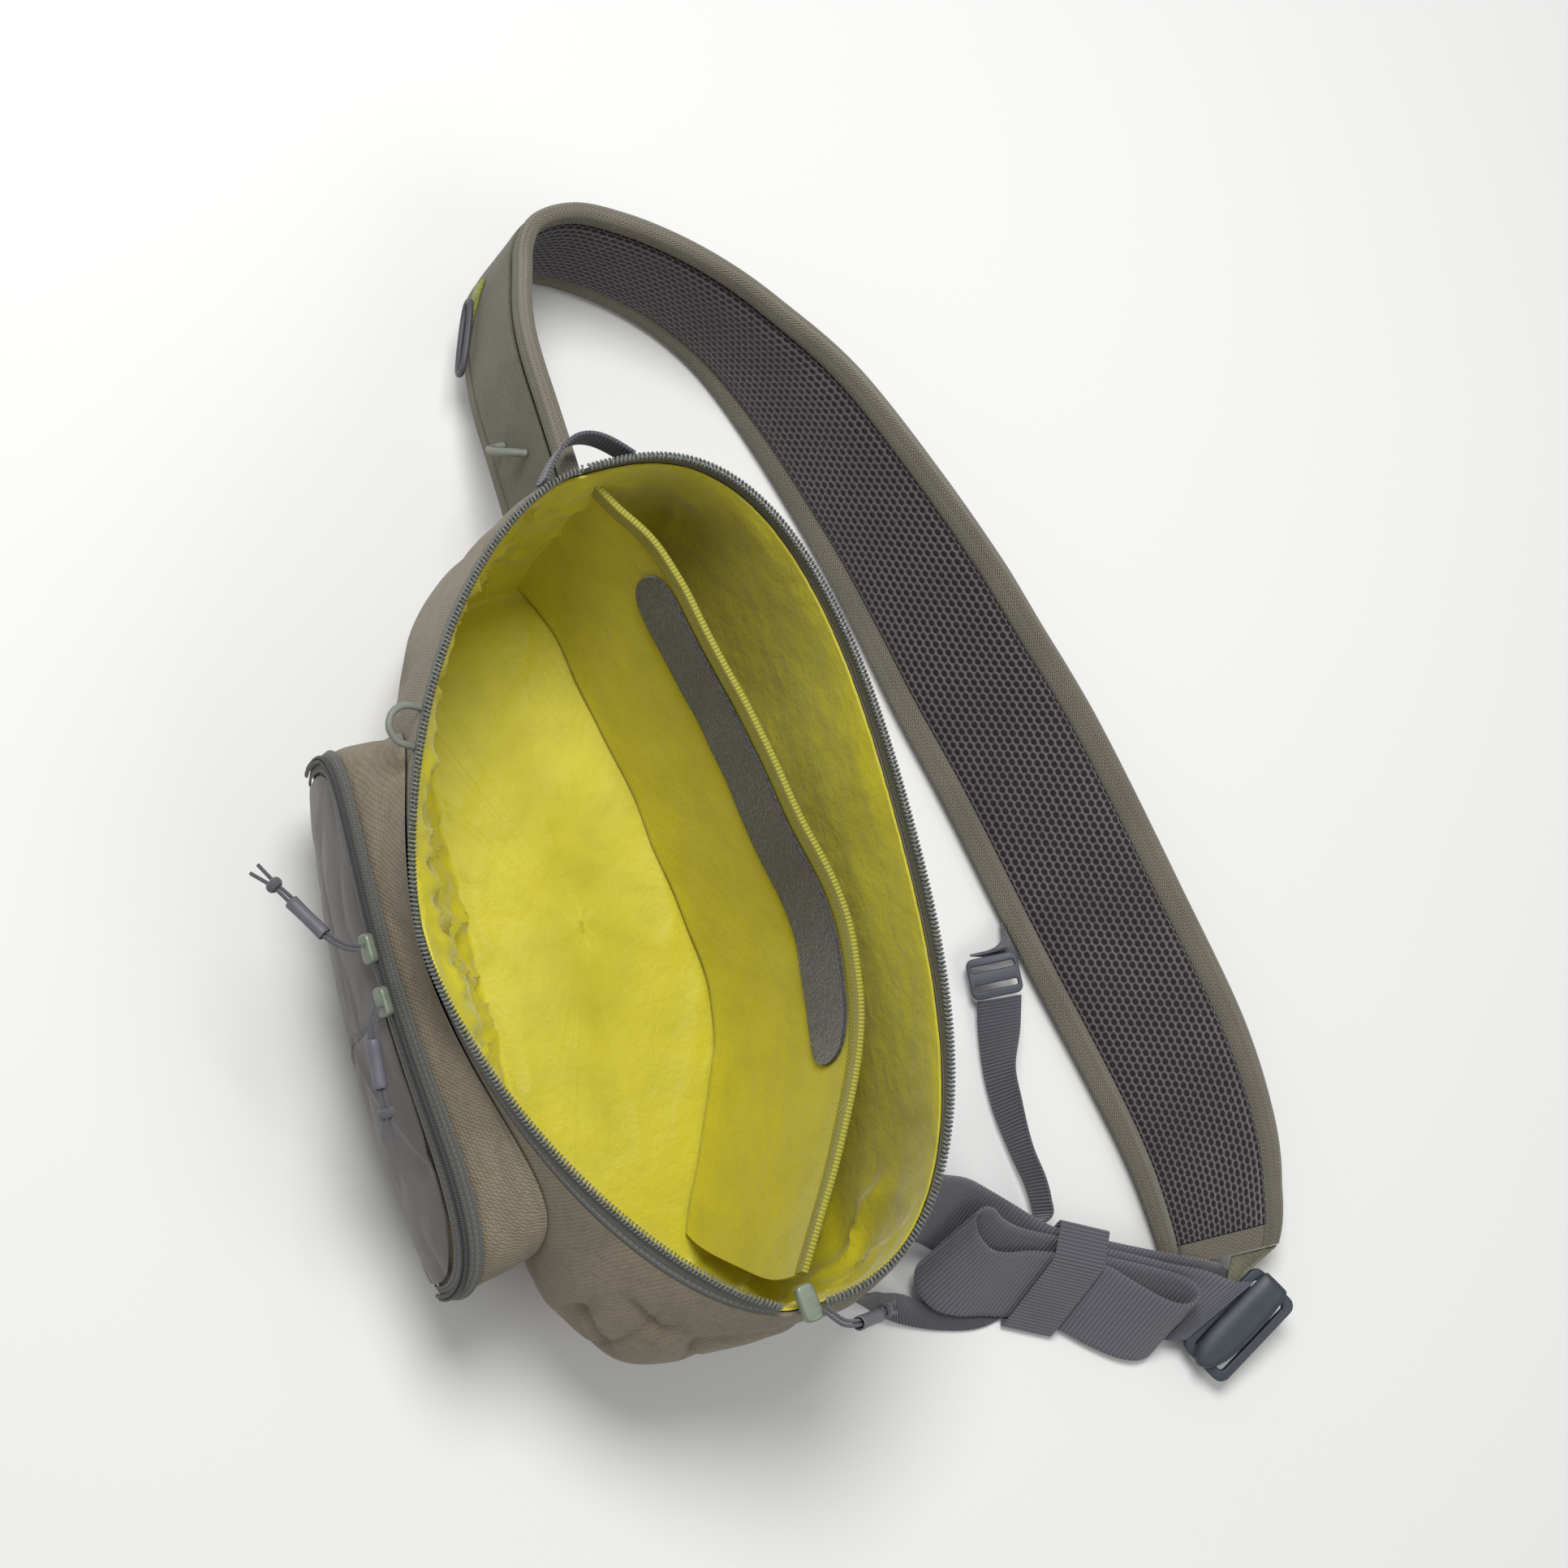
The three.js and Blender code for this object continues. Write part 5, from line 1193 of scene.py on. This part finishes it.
def pocket_piece(name, levels, outer_off, inner_off, finish, under_zip=True):
    """A skin of the pocket between two offsets, closed over its face.

    It is calm under the zip, or else it is the face, with its fold and ridge."""
    p, n = pocket_grid(turn_list, levels)
    L = np.broadcast_to(levels, p.shape[:2])
    calm = np.clip(np.abs(L - ZIP_LEVEL) / 0.12, 0.0, 1) if under_zip else 1
    move = pocket_folds(p, L) * calm * np.clip((L - 0.02) * 20, 0, 1)
    if not under_zip:
        fold_x = np.interp(p[..., 2], [z for x, z in FOLD_LINE], [x for x, z in FOLD_LINE])
        lap = slope_in(p[..., 0] - fold_x, -0.8, 1.2) * slope_in(p[..., 2], 20, 60)
        lines = near_line(p, RIDGE_LINE, 4.5) * 2.4 - near_line(p, FOLD_LINE, 2.4) * 1.2
        move = move * 0.8 + lap * 1.5 + lines
    outs = []
    for off in (outer_off, inner_off):
        q = p + n * (off + move)[..., None]
        q[..., 1] = np.minimum(q[..., 1], wall_y(q[..., 0], q[..., 2], -1) - POCKET_HOLD)
        outs.append(q.transpose(1, 0, 2))
    outside, inside = outs

    def closing(ring, count=10):
        """Smaller and smaller rings that close the face and keep its crown."""
        middle = ring.mean(0)
        out = []
        for k in np.linspace(0.88, 0.08, count):
            r = middle + (ring - middle) * k
            straight = (pocket_face_y(middle[0], middle[2]) * (1 - k)
                        + pocket_face_y(ring[:, 0], ring[:, 2]) * k)
            r[:, 1] += pocket_face_y(r[:, 0], r[:, 2]) - straight
            out.append(r)
        return np.array(out)
    rings = np.vstack([closing(outside[-1])[::-1], outside[::-1], inside, closing(inside[-1])])
    flat = rings[..., [0, 2]]
    flat = np.concatenate([flat, flat[:, :1]], 1)
    return skin(name, rings, flat, finish, caps="fan")


def near_line(p, line, width):
    """1 on a line of (x, z) points of the pocket face, falling off over a width."""
    best = np.full(p.shape[:-1], 1e9)
    for (x0, z0), (x1, z1) in zip(line, line[1:]):
        dx, dz = x1 - x0, z1 - z0
        t = np.clip(((p[..., 0] - x0) * dx + (p[..., 2] - z0) * dz) / (dx * dx + dz * dz), 0, 1)
        best = np.minimum(best, np.hypot(p[..., 0] - x0 - t * dx, p[..., 2] - z0 - t * dz))
    return np.exp(-(best / width) ** 2)


FOLD_LINE = [(44, 20), (42, 60), (38, 94), (34, 119), (27, 146)]
RIDGE_LINE = [(44, 84), (53, 101), (68, 116), (83, 128), (110, 142), (143, 146)]
ZIP_FROM, ZIP_TO, ZIP_LEVEL = -math.pi / 9, math.pi * 10 / 9, 2.5 / 6
COIL_LIFT = 3.5
pocket_levels = np.concatenate([np.linspace(0, 0.5, 52), np.linspace(0.52, 1, 8)])
pocket_piece("front_pocket", pocket_levels, 0.0, -POCKET_WALL, pocket_finish)
pocket_piece("front_pocket_face", np.linspace(3.2 / 6, 1, 54), 1.6, 0.6, coated, under_zip=False)
zip_turns = np.linspace(ZIP_FROM, ZIP_TO, 360)
slab("front_pocket_tape", pocket_point, zip_turns, np.linspace(2.05 / 6, 3 / 6, 12), 3 * GAP, 3 * GAP + 1,
     pocket_tape)
coil_turns = np.linspace(ZIP_FROM + 0.06, ZIP_TO - 0.06, 700)


def pocket_normal(turn, level):
    """Normals of the pocket's skin along one level."""
    level = np.full_like(turn, level)
    a = pocket_point(turn + 0.004, level) - pocket_point(turn - 0.004, level)
    b = pocket_point(turn, level + 0.004) - pocket_point(turn, level - 0.004)
    return unit(np.cross(a, b))


coil_normal = pocket_normal(coil_turns, ZIP_LEVEL)
coil_line = pocket_point(coil_turns, np.full_like(coil_turns, ZIP_LEVEL)) + coil_normal * COIL_LIFT
lobe = [(-1, -0.45), (-1, 0.1), (-0.8, 0.42), (-0.5, 0.5), (-0.2, 0.4), (-0.05, 0.0)]
two_lobes = np.array(lobe + [(-x, y) for x, y in lobe[::-1]])
sweep("front_pocket_coil", coil_line, 2.0, coil_dark, profile=two_lobes, up=coil_normal)

# Back panel, a pad swollen by a cloth simulation
panel_size = (BAG_LENGTH * 0.72, RIM_BACK_HEIGHT)


def panel_point(u, v):
    """The back panel's place on the back wall."""
    x, z = (u - 0.5) * panel_size[0], panel_size[1] * (0.06 + 0.84 * v)
    return np.stack([x, wall_y(x, z, 1), z], -1)


def panel_puff(u, v):
    """How far the panel stands out, thin at its edges."""
    e = np.clip(np.minimum(u, 1 - u) * 9, 0, 1)
    f = np.clip(np.minimum(v, 1 - v) * 6, 0, 1)
    return -(3.4 + (PANEL_THICK - 6.4) * (e * f) ** 0.5)


panel = slab("back_panel", panel_point, np.linspace(0, 1, 90), np.linspace(0, 1, 44), panel_puff, -4 * GAP,
             plush)


def swell(obj, voxel, cap, frames=20, pressure=4.0):
    """Swells a padded piece by Blender's cloth and keeps every point within a cap of where it was."""
    cells = obj.modifiers.new("cells", "REMESH")
    cells.mode = "VOXEL"
    cells.voxel_size = voxel / 1000
    with bpy.context.temp_override(object=obj, active_object=obj, selected_objects=[obj]):
        bpy.ops.object.modifier_apply(modifier="cells")
    start = np.array([v.co[:] for v in obj.data.vertices])
    held = obj.vertex_groups.new(name="held")
    gap = np.abs(start[:, 1] * 1000 - wall_y(start[:, 0] * 1000, start[:, 2] * 1000, 1))
    held.add([int(i) for i in np.nonzero(gap < 2.6)[0]], 1.0, "REPLACE")
    cloth = obj.modifiers.new("swell", "CLOTH")
    cloth.settings.use_pressure = True
    cloth.settings.uniform_pressure_force = pressure
    cloth.settings.effector_weights.gravity = 0
    cloth.settings.vertex_group_mass = "held"
    scene = bpy.context.scene
    for frame_number in range(1, frames + 1):
        scene.frame_set(frame_number)
    graph = bpy.context.evaluated_depsgraph_get()
    swollen = np.array([v.co[:] for v in obj.evaluated_get(graph).data.vertices])
    obj.modifiers.remove(cloth)
    scene.frame_set(1)
    step = swollen - start
    size = np.linalg.norm(step, axis=1, keepdims=True)
    end = start + step * np.minimum(1, cap / 1000 / np.maximum(size, 1e-9))
    return start, end


start, end = swell(panel, 5, 6)
# Stitched channels run up and down the pad.
share = (end[:, 0] * 1000 / panel_size[0] + 0.5)
channel = sum(np.exp(-((share - c) / 0.012) ** 2) for c in (0.25, 0.5, 0.75))
away = np.clip((end[:, 1] * 1000 - wall_y(end[:, 0] * 1000, end[:, 2] * 1000, 1) - 2) / 6, 0, 1)
end[:, 1] -= channel * away * 3.2 / 1000
panel.data.vertices.foreach_set("co", end.astype(np.float32).ravel())
panel.data.update()
sub = panel.modifiers.new("fine", "SUBSURF")
sub.levels = sub.render_levels = 1
with bpy.context.temp_override(object=panel, active_object=panel, selected_objects=[panel]):
    bpy.ops.object.modifier_apply(modifier="fine")
panel.vertex_groups.clear()
panel.data.shade_smooth()

# Shoulder strap
EDGE = STRAP_BINDING / STRAP_WIDTH
STRAP_END = 0.972
strap_us = np.linspace(0, STRAP_END + 0.003, 420)


def strap_normal(u, v):
    """Normals of the strap's middle surface."""
    u, v = np.broadcast_arrays(np.asarray(u, float), np.asarray(v, float))
    a = strap_point(np.minimum(u + 0.002, 1), v) - strap_point(np.maximum(u - 0.002, 0), v)
    b = strap_point(u, v + 0.01) - strap_point(u, v - 0.01)
    return unit(np.cross(a, b))


def pad_height(u, v):
    """Height of the mesh over the middle surface, with soft waves away from its edges."""
    share = np.clip(np.minimum(v - EDGE, 1 - EDGE - v) / 0.12, 0, 1)
    p = strap_point(u, v)
    waves = fog(p, 34, 20) * 0.8 + fog(p, 70, 21) * 0.8
    return STRAP_THICK / 2 * (0.62 + 0.38 * np.sqrt(share)) + np.clip(waves, -1, 0.4) * share


strap_vs = np.linspace(EDGE + 0.006, 1 - EDGE - 0.006, 34)
strap_inner = STRAP_FACE - STRAP_THICK / 2
strap_pad = slab("strap_mesh", strap_point, strap_us, strap_vs, strap_inner + 2 * GAP, pad_height, spacer,
                 edge=4)


def face_low(u, v):
    """The outer side of the strap face, below the middle surface."""
    share = np.clip(np.minimum(v - EDGE, 1 - EDGE - v) / 0.1, 0, 1)
    p = strap_point(u, v)
    return -STRAP_THICK / 2 + (1 - np.sqrt(share)) * 0.5 + np.clip(fog(p, 40, 22) * 0.7, -0.3, 0.8) * share


slab("strap_face", strap_point, strap_us, strap_vs, face_low, strap_inner, strap_finish, bulge=0.3)


BINDING_EASE = 0.8


def binding(name, middle):
    """The taped edge of the strap, with the stitched groove along its inner side."""
    U, R = np.meshgrid(np.linspace(0, 1, 480), np.linspace(0, 2 * math.pi, 28, endpoint=False), indexing="ij")
    c, s = np.cos(R), np.sin(R)
    r = rounded(c, s, 3.0)
    lift = (STRAP_THICK / 2 - BINDING_EASE) * s * r
    base = strap_point(U, middle + EDGE / 2 * c * r)
    n = strap_normal(U, np.full_like(U, middle))
    inner_side = 1 if middle < 0.5 else -1
    tuck = np.exp(-((c * inner_side - 0.72) / 0.14) ** 2) * 0.7
    p = base + n * (lift - np.sign(s) * tuck * np.abs(s) ** 0.5)[..., None]
    run = run_of(p, 0)
    ring = np.vstack([p[240], p[240][:1]])
    around = np.concatenate([[0], np.cumsum(np.linalg.norm(np.diff(ring, axis=0), axis=1))])
    uv = np.stack(np.meshgrid(run, around, indexing="ij"), -1)
    return skin(name, p, uv, taupe, caps="fan")


binding("strap_binding_lower", EDGE / 2)
binding("strap_binding_upper", 1 - EDGE / 2)
end_half = STRAP_THICK / 2 - BINDING_EASE
slab("strap_binding_end", strap_point, np.linspace(STRAP_END + 0.004, 1, 10),
     np.linspace(strap_vs[0] + 0.01, strap_vs[-1] - 0.01, 30), -end_half, end_half, taupe, edge=4)

# Webbings


def webbing_piece(name, surface, lengthwise, across, thick, finish):
    """A flat webbing on its route, with its count of steps each way."""
    slab(name, surface, np.linspace(0, 1, lengthwise), np.linspace(0, 1, across), -thick / 2, thick / 2,
         finish)


webbing_piece("webbing_main", wide, 260, 14, WEBBING_THICK, webbing)
webbing_piece("webbing_surplus", folded, 620, 14, WEBBING_THICK, webbing)
webbing_piece("stabiliser_webbing", thin, 420, 10, THIN_THICK, webbing_thin)

# Keeper, an elastic band round the folds
KEEPER_PLACE = 0.494


def at(surface, u, v):
    """One point of a surface."""
    return surface(np.array([[u]]), np.array([[v]]))[0, 0]


keeper_axis = (at(wide, KEEPER_PLACE + 0.02, 0) - at(wide, KEEPER_PLACE - 0.02, 0)) * [1, 1, 0]
keeper_axis = unit(keeper_axis)
keeper_rise = unit(at(wide, KEEPER_PLACE, 1) - at(wide, KEEPER_PLACE, 0))
keeper_out = np.array([keeper_axis[1], -keeper_axis[0], 0])
keeper_centre = at(wide, KEEPER_PLACE, 0.5) + keeper_out * KEEPER_STACK / 2 + [0, 0, GAP]


def keeper_surface(turn, v):
    r = rounded(np.cos(turn), np.sin(turn), 9.0)
    return (keeper_centre + keeper_out * ((KEEPER_STACK / 2 + KEEPER_EASE) * np.cos(turn) * r)[..., None]
            + keeper_rise * ((WEBBING_WIDTH / 2 + KEEPER_RISE) * np.sin(turn) * r)[..., None]
            + keeper_axis * ((v - 0.5) * KEEPER_WIDTH)[..., None])


keeper_turns = np.linspace(0, 2 * math.pi, 160, endpoint=False)
slab("webbing_keeper", keeper_surface, keeper_turns, np.linspace(0, 1, 12), -KEEPER_THICK / 2,
     KEEPER_THICK / 2, elastic, wrap=True)


# Sliders
def slider(name, origin, along, up, length, width, thick):
    """A zip slider: a flat rounded block, waisted at its middle."""
    t = np.linspace(0, 2 * math.pi, 48, endpoint=False)
    r = rounded(np.cos(t), np.sin(t), 3.4)
    x = length / 2 * np.cos(t) * r
    y = width / 2 * np.sin(t) * r * (1 - 0.16 * (1 - (np.cos(t) * r) ** 2))
    outline = [np.stack([x, y], -1)]
    return plate(name, outline, thick, min(thick * 0.34, 1.6), slider_metal, name, origin, along, up)


rim_tip = rim_point(np.array([0.0]), 0, WALL / 2)[0]
main_place = rim_tip + [-2, 0, 2 * COIL_RADIUS + 3 * GAP]
slider("main_slider", main_place, (1, 0.1, 0.05), (0, 0, 1), SLIDER_LENGTH, SLIDER_LENGTH * 0.62,
       MAIN_SLIDER_THICK)


def turn_at(x):
    """The turn round the pocket at which its zip passes x, on the upper side."""
    low, high = 0.3, math.pi - 0.3
    for _ in range(30):
        middle = (low + high) / 2
        if pocket_point(np.array([middle]), np.array([ZIP_LEVEL]))[0, 0] > x:
            low = middle
        else:
            high = middle
    return (low + high) / 2


places = {}
for key, x in (("a", -0.004 * BAG_LENGTH), ("b", 0.052 * BAG_LENGTH)):
    turn = turn_at(x)
    three = np.array([turn - 0.02, turn, turn + 0.02])
    out = pocket_normal(three, ZIP_LEVEL)
    line = pocket_point(three, np.full(3, ZIP_LEVEL)) + out * COIL_LIFT
    centre = line[1] + out[1] * (1 + POCKET_SLIDER_THICK / 2 + GAP)
    slider("pocket_slider_" + key, centre, line[2] - line[0], out[1], POCKET_SLIDER_LENGTH,
           POCKET_SLIDER_WIDTH, POCKET_SLIDER_THICK)
    places[key] = centre + out[1] * 3.6
places["m"] = main_place + [0, 4, 4.6]

# Pull cords. Each point is a step along, out and up from the slider, in mm.
PULL_ROUTES = {
    "a": [(-1, 0.6, 0), (-4, 7, -3), (-10, 13, -5), (-22, 20, -9), (-34, 26, -13), (-42, 31, -15),
          (-52, 38, -18)],
    "b": [(1.2, 0.9, 0), (8, 5, 0), (14, 6, -1), (28, 7, -2), (42, 8, -3), (52, 8, -4), (64, 9, -5)],
    "m": [(4.9, 2.2, 0.1), (13, 9, 0), (16, 17, -5), (17, 27, -14), (17, 36, -24), (17, 42, -31),
          (18, 52, -42)],
}


def tube(name, origin, along, inner, outer, length, finish, corners=0.4, waist=0.0):
    """A short tube about a line, hollow for the strands."""
    x = unit(np.asarray(along, float))
    s = unit(np.cross(x, [0, 0, 1.0]))
    t = np.cross(s, x)
    half = length / 2
    outline = [(inner, -half), (outer - corners, -half), (outer, corners - half)]
    outline += [(outer + waist * math.sin(math.pi * k / 8), -half + corners + (length - 2 * corners) * k / 8)
                for k in range(1, 8)]
    outline += [(outer, half - corners), (outer - corners, half), (inner, half), (inner, 0)]
    outline = np.array(outline)
    turn = np.linspace(0, 2 * math.pi, 28, endpoint=False)
    rings = (np.asarray(origin) + x * outline[None, :, 1:] + outline[None, :, :1]
             * (s * np.cos(turn)[:, None, None] + t * np.sin(turn)[:, None, None]))
    around = np.vstack([outline, outline[:1]])
    run = np.concatenate([[0], np.cumsum(np.linalg.norm(np.diff(around, axis=0), axis=1))])
    uv = np.stack(np.meshgrid(np.linspace(0, 2 * math.pi * outer, 29), run, indexing="ij"), -1)
    return skin(name, rings, uv, finish, wrap_u=True)


def pull_strand(key, number, side, route, tangent):
    """One of a pull's two strands, beside the route and spread apart at its end."""
    strand = []
    for i, point in enumerate(route):
        beside = unit(np.cross(tangent[i], [0, 0, 1.0]))
        spread = 2.4 if i == len(route) - 1 else 1
        strand.append(point + beside * side * (CORD_RADIUS + 0.15) * spread)
    fine = catmull(np.array(strand), np.linspace(0, 1, 90))
    piece = sweep(f"pull_cord_{key}{number}", fine, CORD_RADIUS, braid, sides=12, ends=3)
    tuple(fine[0] / 1000)
    [tuple(p / 1000) for p in fine]


def pull(key, points):
    """A pull: its sleeve, its knot and its two strands, on a route from the slider."""
    sign = 1 if key == "m" else -1
    route = np.array([places[key] + [x, sign * y, z] for x, y, z in points])
    share = np.arange(len(route)) / (len(route) - 1)
    ahead = catmull(route, np.clip(share + 1e-4, 0, 1))
    behind = catmull(route, np.clip(share - 1e-4, 0, 1))
    tangent = unit(ahead - behind)
    inner = 2 * CORD_RADIUS
    sleeve = tube("pull_sleeve_" + key, route[3], route[4] - route[2], inner + 1, inner + 1.7, 24,
                  sleeve_finish, waist=-0.25)
    knot = tube("pull_knot_" + key, route[5], route[5] - route[4], inner + 0.8, inner + 2, 5, braid,
                corners=1.0, waist=0.3)
    pull_strand(key, 1, -1, route, tangent)
    pull_strand(key, 2, 1, route, tangent)


for key, points in PULL_ROUTES.items():
    pull(key, points)

# Buckle
BUCKLE_PLATE = 5
buckle_across = unit(np.array([-0.505, 0.825, 0.252]))
buckle_travel = unit(np.array([0.85, 0.51, 0.03]))
buckle_up = unit(np.cross(buckle_travel, buckle_across))
buckle_centre = np.array([0.667 * BAG_LENGTH, 1.593 * BAG_DEPTH, 21])


def slotted(length, width, slot_length, slot_width, spread):
    """Outline of a ladder plate and its two slots."""
    return [outline_box(length / 2, width / 2, width * 0.18),
            outline_box(slot_length / 2, slot_width / 2, slot_width * 0.3)[::-1] + [0, spread],
            outline_box(slot_length / 2, slot_width / 2, slot_width * 0.3)[::-1] - [0, spread]]


frame_outline = slotted(BUCKLE_WIDTH, BUCKLE_DEPTH, BUCKLE_WIDTH - 12, BUCKLE_DEPTH * 0.24,
                        BUCKLE_DEPTH * 0.22)
plate("buckle_frame", frame_outline, BUCKLE_PLATE, 1.1, buckle_finish, "buckle_frame", buckle_centre,
      buckle_across, buckle_up)
LEVER_SECTION = [(-0.32, 0.6), (-0.34, 2.4), (-0.2, 5.4), (0.08, 6.6), (0.32, 5.4), (0.42, 3), (0.42, 0.6),
                 (0.3, 1.4), (0, 2), (-0.2, 1.4)]


def lever_ring(section, s):
    """The lever's section at a place from -1 to 1 along it, lower at both ends and tapered at one."""
    end = (1 - abs(s) ** 6) ** (1 / 3)
    height = 0.55 + 0.45 * end
    tip = 0.62 + 0.38 * (1 - s * s) ** 0.5
    narrow = (1 - abs(min(s, 0)) ** 3.4) ** 0.5
    x = np.where(section[:, 0] > 0, section[:, 0] * 0.66 * tip, section[:, 0] * (0.85 + 0.15 * end))
    x = -3 + (x + 3) * (0.16 + 0.84 * narrow)
    y = 0.6 + (section[:, 1] - 0.6) * height
    return (buckle_centre + buckle_up * (BUCKLE_PLATE / 2 + y)[:, None] + buckle_travel * x[:, None]
            + buckle_across * (s * (BUCKLE_WIDTH / 2 + 1)))


def buckle_lever():
    section = np.array([(x * BUCKLE_DEPTH, y) for x, y in LEVER_SECTION])
    section = catmull(np.vstack([section, section[:1]]), np.linspace(0, 1, 61))[:-1]
    spans = np.linspace(-1, 1, 49)
    rings = np.array([lever_ring(section, s) for s in spans])
    uv = np.stack(np.meshgrid(spans * 33, np.linspace(0, 90, 61), indexing="ij"), -1)
    skin("buckle_lever", rings, uv, buckle_finish, caps="fan")


buckle_lever()


def tab_surface(u, v):
    """The tab from the end of the strap to the buckle."""
    a = strap_point(np.ones_like(v), 0.58 + 0.38 * v) + buckle_travel * 1.6
    edge = buckle_centre - buckle_travel * (BUCKLE_DEPTH / 2 + 1.3)
    b = edge + buckle_across * (7 + v * 22)[..., None]
    return a + (b - a) * u[..., None]


slab("strap_end_tab", tab_surface, np.linspace(0, 1, 24), np.linspace(0, 1, 16), -1, 1, tab_finish)


# Yellow tab, its ring and the arch on the strap
def on_strap(u, v, lift):
    """A point over the outer face of the strap."""
    u, v = np.array([[u]], float), np.array([[v]], float)
    return (strap_point(u, v) - strap_normal(u, v) * (STRAP_THICK / 2 + lift))[0, 0]


def strap_tab_surface(a, b):
    return strap_point(0.225 - 0.06 * a, 0.4 - 0.24 * a + (b - 0.5) * 0.13)


tab_foot = STRAP_THICK / 2 + GAP
slab("strap_tab", strap_tab_surface, np.linspace(0, 1, 40), np.linspace(0, 1, 12), tab_foot, tab_foot + 2,
     yellow_tab)


def gear_ring():
    """The long ring that hangs in the yellow tab."""
    far, near = on_strap(0.2, 0.33, 4.95), on_strap(0.125, 0.12, 4.95)
    along = unit(near - far)
    up = -strap_normal(np.array([[0.16]]), np.array([[0.25]]))[0, 0]
    side = unit(np.cross(up, along))
    t = np.linspace(0, 2 * math.pi, 120, endpoint=False)
    r = rounded(np.cos(t), np.sin(t), 2.8)
    path = (near + far) / 2 + along * (21 * np.cos(t) * r)[:, None] + side * (7 * np.sin(t) * r)[:, None]
    sweep("gear_ring", path, 1.8, ring_finish, closed=True, up=up, sides=16)


def cord_arch():
    """The moulded arch, from places on the strap and heights over it."""
    arch = [(0.052, 0.36, 0.4), (0.05, 0.37, 7), (0.046, 0.44, 12), (0.04, 0.54, 12), (0.036, 0.61, 7),
            (0.034, 0.62, 0.4)]
    line = catmull(np.array([on_strap(u, v, lift + GAP) for u, v, lift in arch]), np.linspace(0, 1, 60))
    sweep("cord_arch", line, 2.2, arch_finish, sides=16)


gear_ring()
cord_arch()

# Small lock and its tab
lock_across = unit(np.array([0.05, 0.93, 0.36]))
lock_travel = unit(np.array([-1, 0.05, 0.02]))
lock_up = unit(np.cross(lock_across, lock_travel))
lock_centre = at(thin, 0, 0.5) + lock_travel * 13.1
lock_finish = moulded("buckle_plastic", (0.068, 0.072, 0.092), 0.45, "lock_plastic")
plate("small_lock", slotted(LOCK_WIDTH, LOCK_LENGTH, 25, 3.6, 5.5), LOCK_THICK, 1.0, lock_finish,
      "small_lock", lock_centre, lock_across, lock_up)


def strap_place_beside(x):
    """The place along the strap where its lower edge passes x, on its way to the buckle."""
    low, high = 0.5, 0.98
    for _ in range(30):
        middle = (low + high) / 2
        if at(strap_point, middle, 0)[0] < x:
            low = middle
        else:
            high = middle
    return low


seat = strap_place_beside(lock_centre[0] - 6)


def lock_surface(u, v):
    """The tab from the lock to the edge of the strap."""
    a = lock_centre + lock_travel * (LOCK_LENGTH / 2 + 2.4) + lock_across * ((v - 0.5) * 22)[..., None]
    b = strap_point(seat - 0.012 * v, np.zeros_like(v)) + [0, -1.4, 1]
    return a + (b - a) * u[..., None]


slab("lock_tab", lock_surface, np.linspace(0, 1, 20), np.linspace(0, 1, 10), -0.8, 0.8, webbing_thin)

# Tool loop and grab handle


def tool_loop():
    """The moulded loop over the pocket; its points are shares along and up, with mm out from the wall."""
    points = [(-0.188, 0, 0.960), (-0.19, 8, 0.975), (-0.2, 13, 0.985), (-0.214, 13, 0.985),
              (-0.224, 8, 0.975), (-0.226, 0, 0.960)]
    line = [wall_point(x * BAG_LENGTH, z * RIM_FRONT_HEIGHT, -1) + [-away * 0.4, -away - 0.5, 0]
            for x, away, z in points]
    sweep("tool_loop", catmull(np.array(line), np.linspace(0, 1, 60)), 1.8, arch_finish, sides=14)


tool_loop()


def handle_surface(u, v):
    """The bump of webbing behind the far end of the zip."""
    y = (0.2 - 0.24 * u) * BAG_DEPTH
    z = RIM_END_HEIGHT - 14 + v * HANDLE_HEIGHT
    x = end_wall_x(y, np.minimum(z, RIM_END_HEIGHT - 6), -1) - 1.3 - 14 * np.sin(math.pi * u)
    return np.stack([x, y, z], -1)


slab("grab_handle", handle_surface, np.linspace(0, 1, 80), np.linspace(0, 1, 10), -1, 1, webbing_thin)

# Floor and light
floor_finish = Finish("floor", (0.80, 0.80, 0.79), 0.7, name="floor")
floor_finish.shade(floor_finish.noise(700, 2).ramp(0.3, 0.8), 0.98).done()
mesh = bpy.data.meshes.new("floor")
mesh.from_pydata([(-6, -6, -0.0006), (6, -6, -0.0006), (6, 6, -0.0006), (-6, 6, -0.0006)], [], [(0, 1, 2, 3)])
floor = bpy.data.objects.new("floor", mesh)
bpy.context.scene.collection.objects.link(floor)
floor.data.materials.append(floor_finish.material)


def lamp(name, place, aim, size, power):
    """A round soft lamp that looks at a point; both in metres."""
    light = bpy.data.lights.new(name, "AREA")
    light.shape = "DISK"
    light.size = size
    light.energy = power
    obj = bpy.data.objects.new(name, light)
    obj.location = place
    obj.rotation_euler = (Vector(aim) - Vector(place)).to_track_quat("-Z", "Y").to_euler()
    bpy.context.scene.collection.objects.link(obj)


lamp("key", (-0.75, -0.15, 2.0), (0, 0.15, 0.1), 0.9, 36)
lamp("fill", (1.2, 0.9, 2.0), (0, 0.15, 0.1), 1.4, 9)
world = bpy.data.worlds.new("studio")
bpy.context.scene.world = world
world.use_nodes = True
world.node_tree.nodes["Background"].inputs["Color"].default_value = (1, 1, 1, 1)
world.node_tree.nodes["Background"].inputs["Strength"].default_value = 0.38
bpy.context.scene.view_settings.view_transform = "Standard"
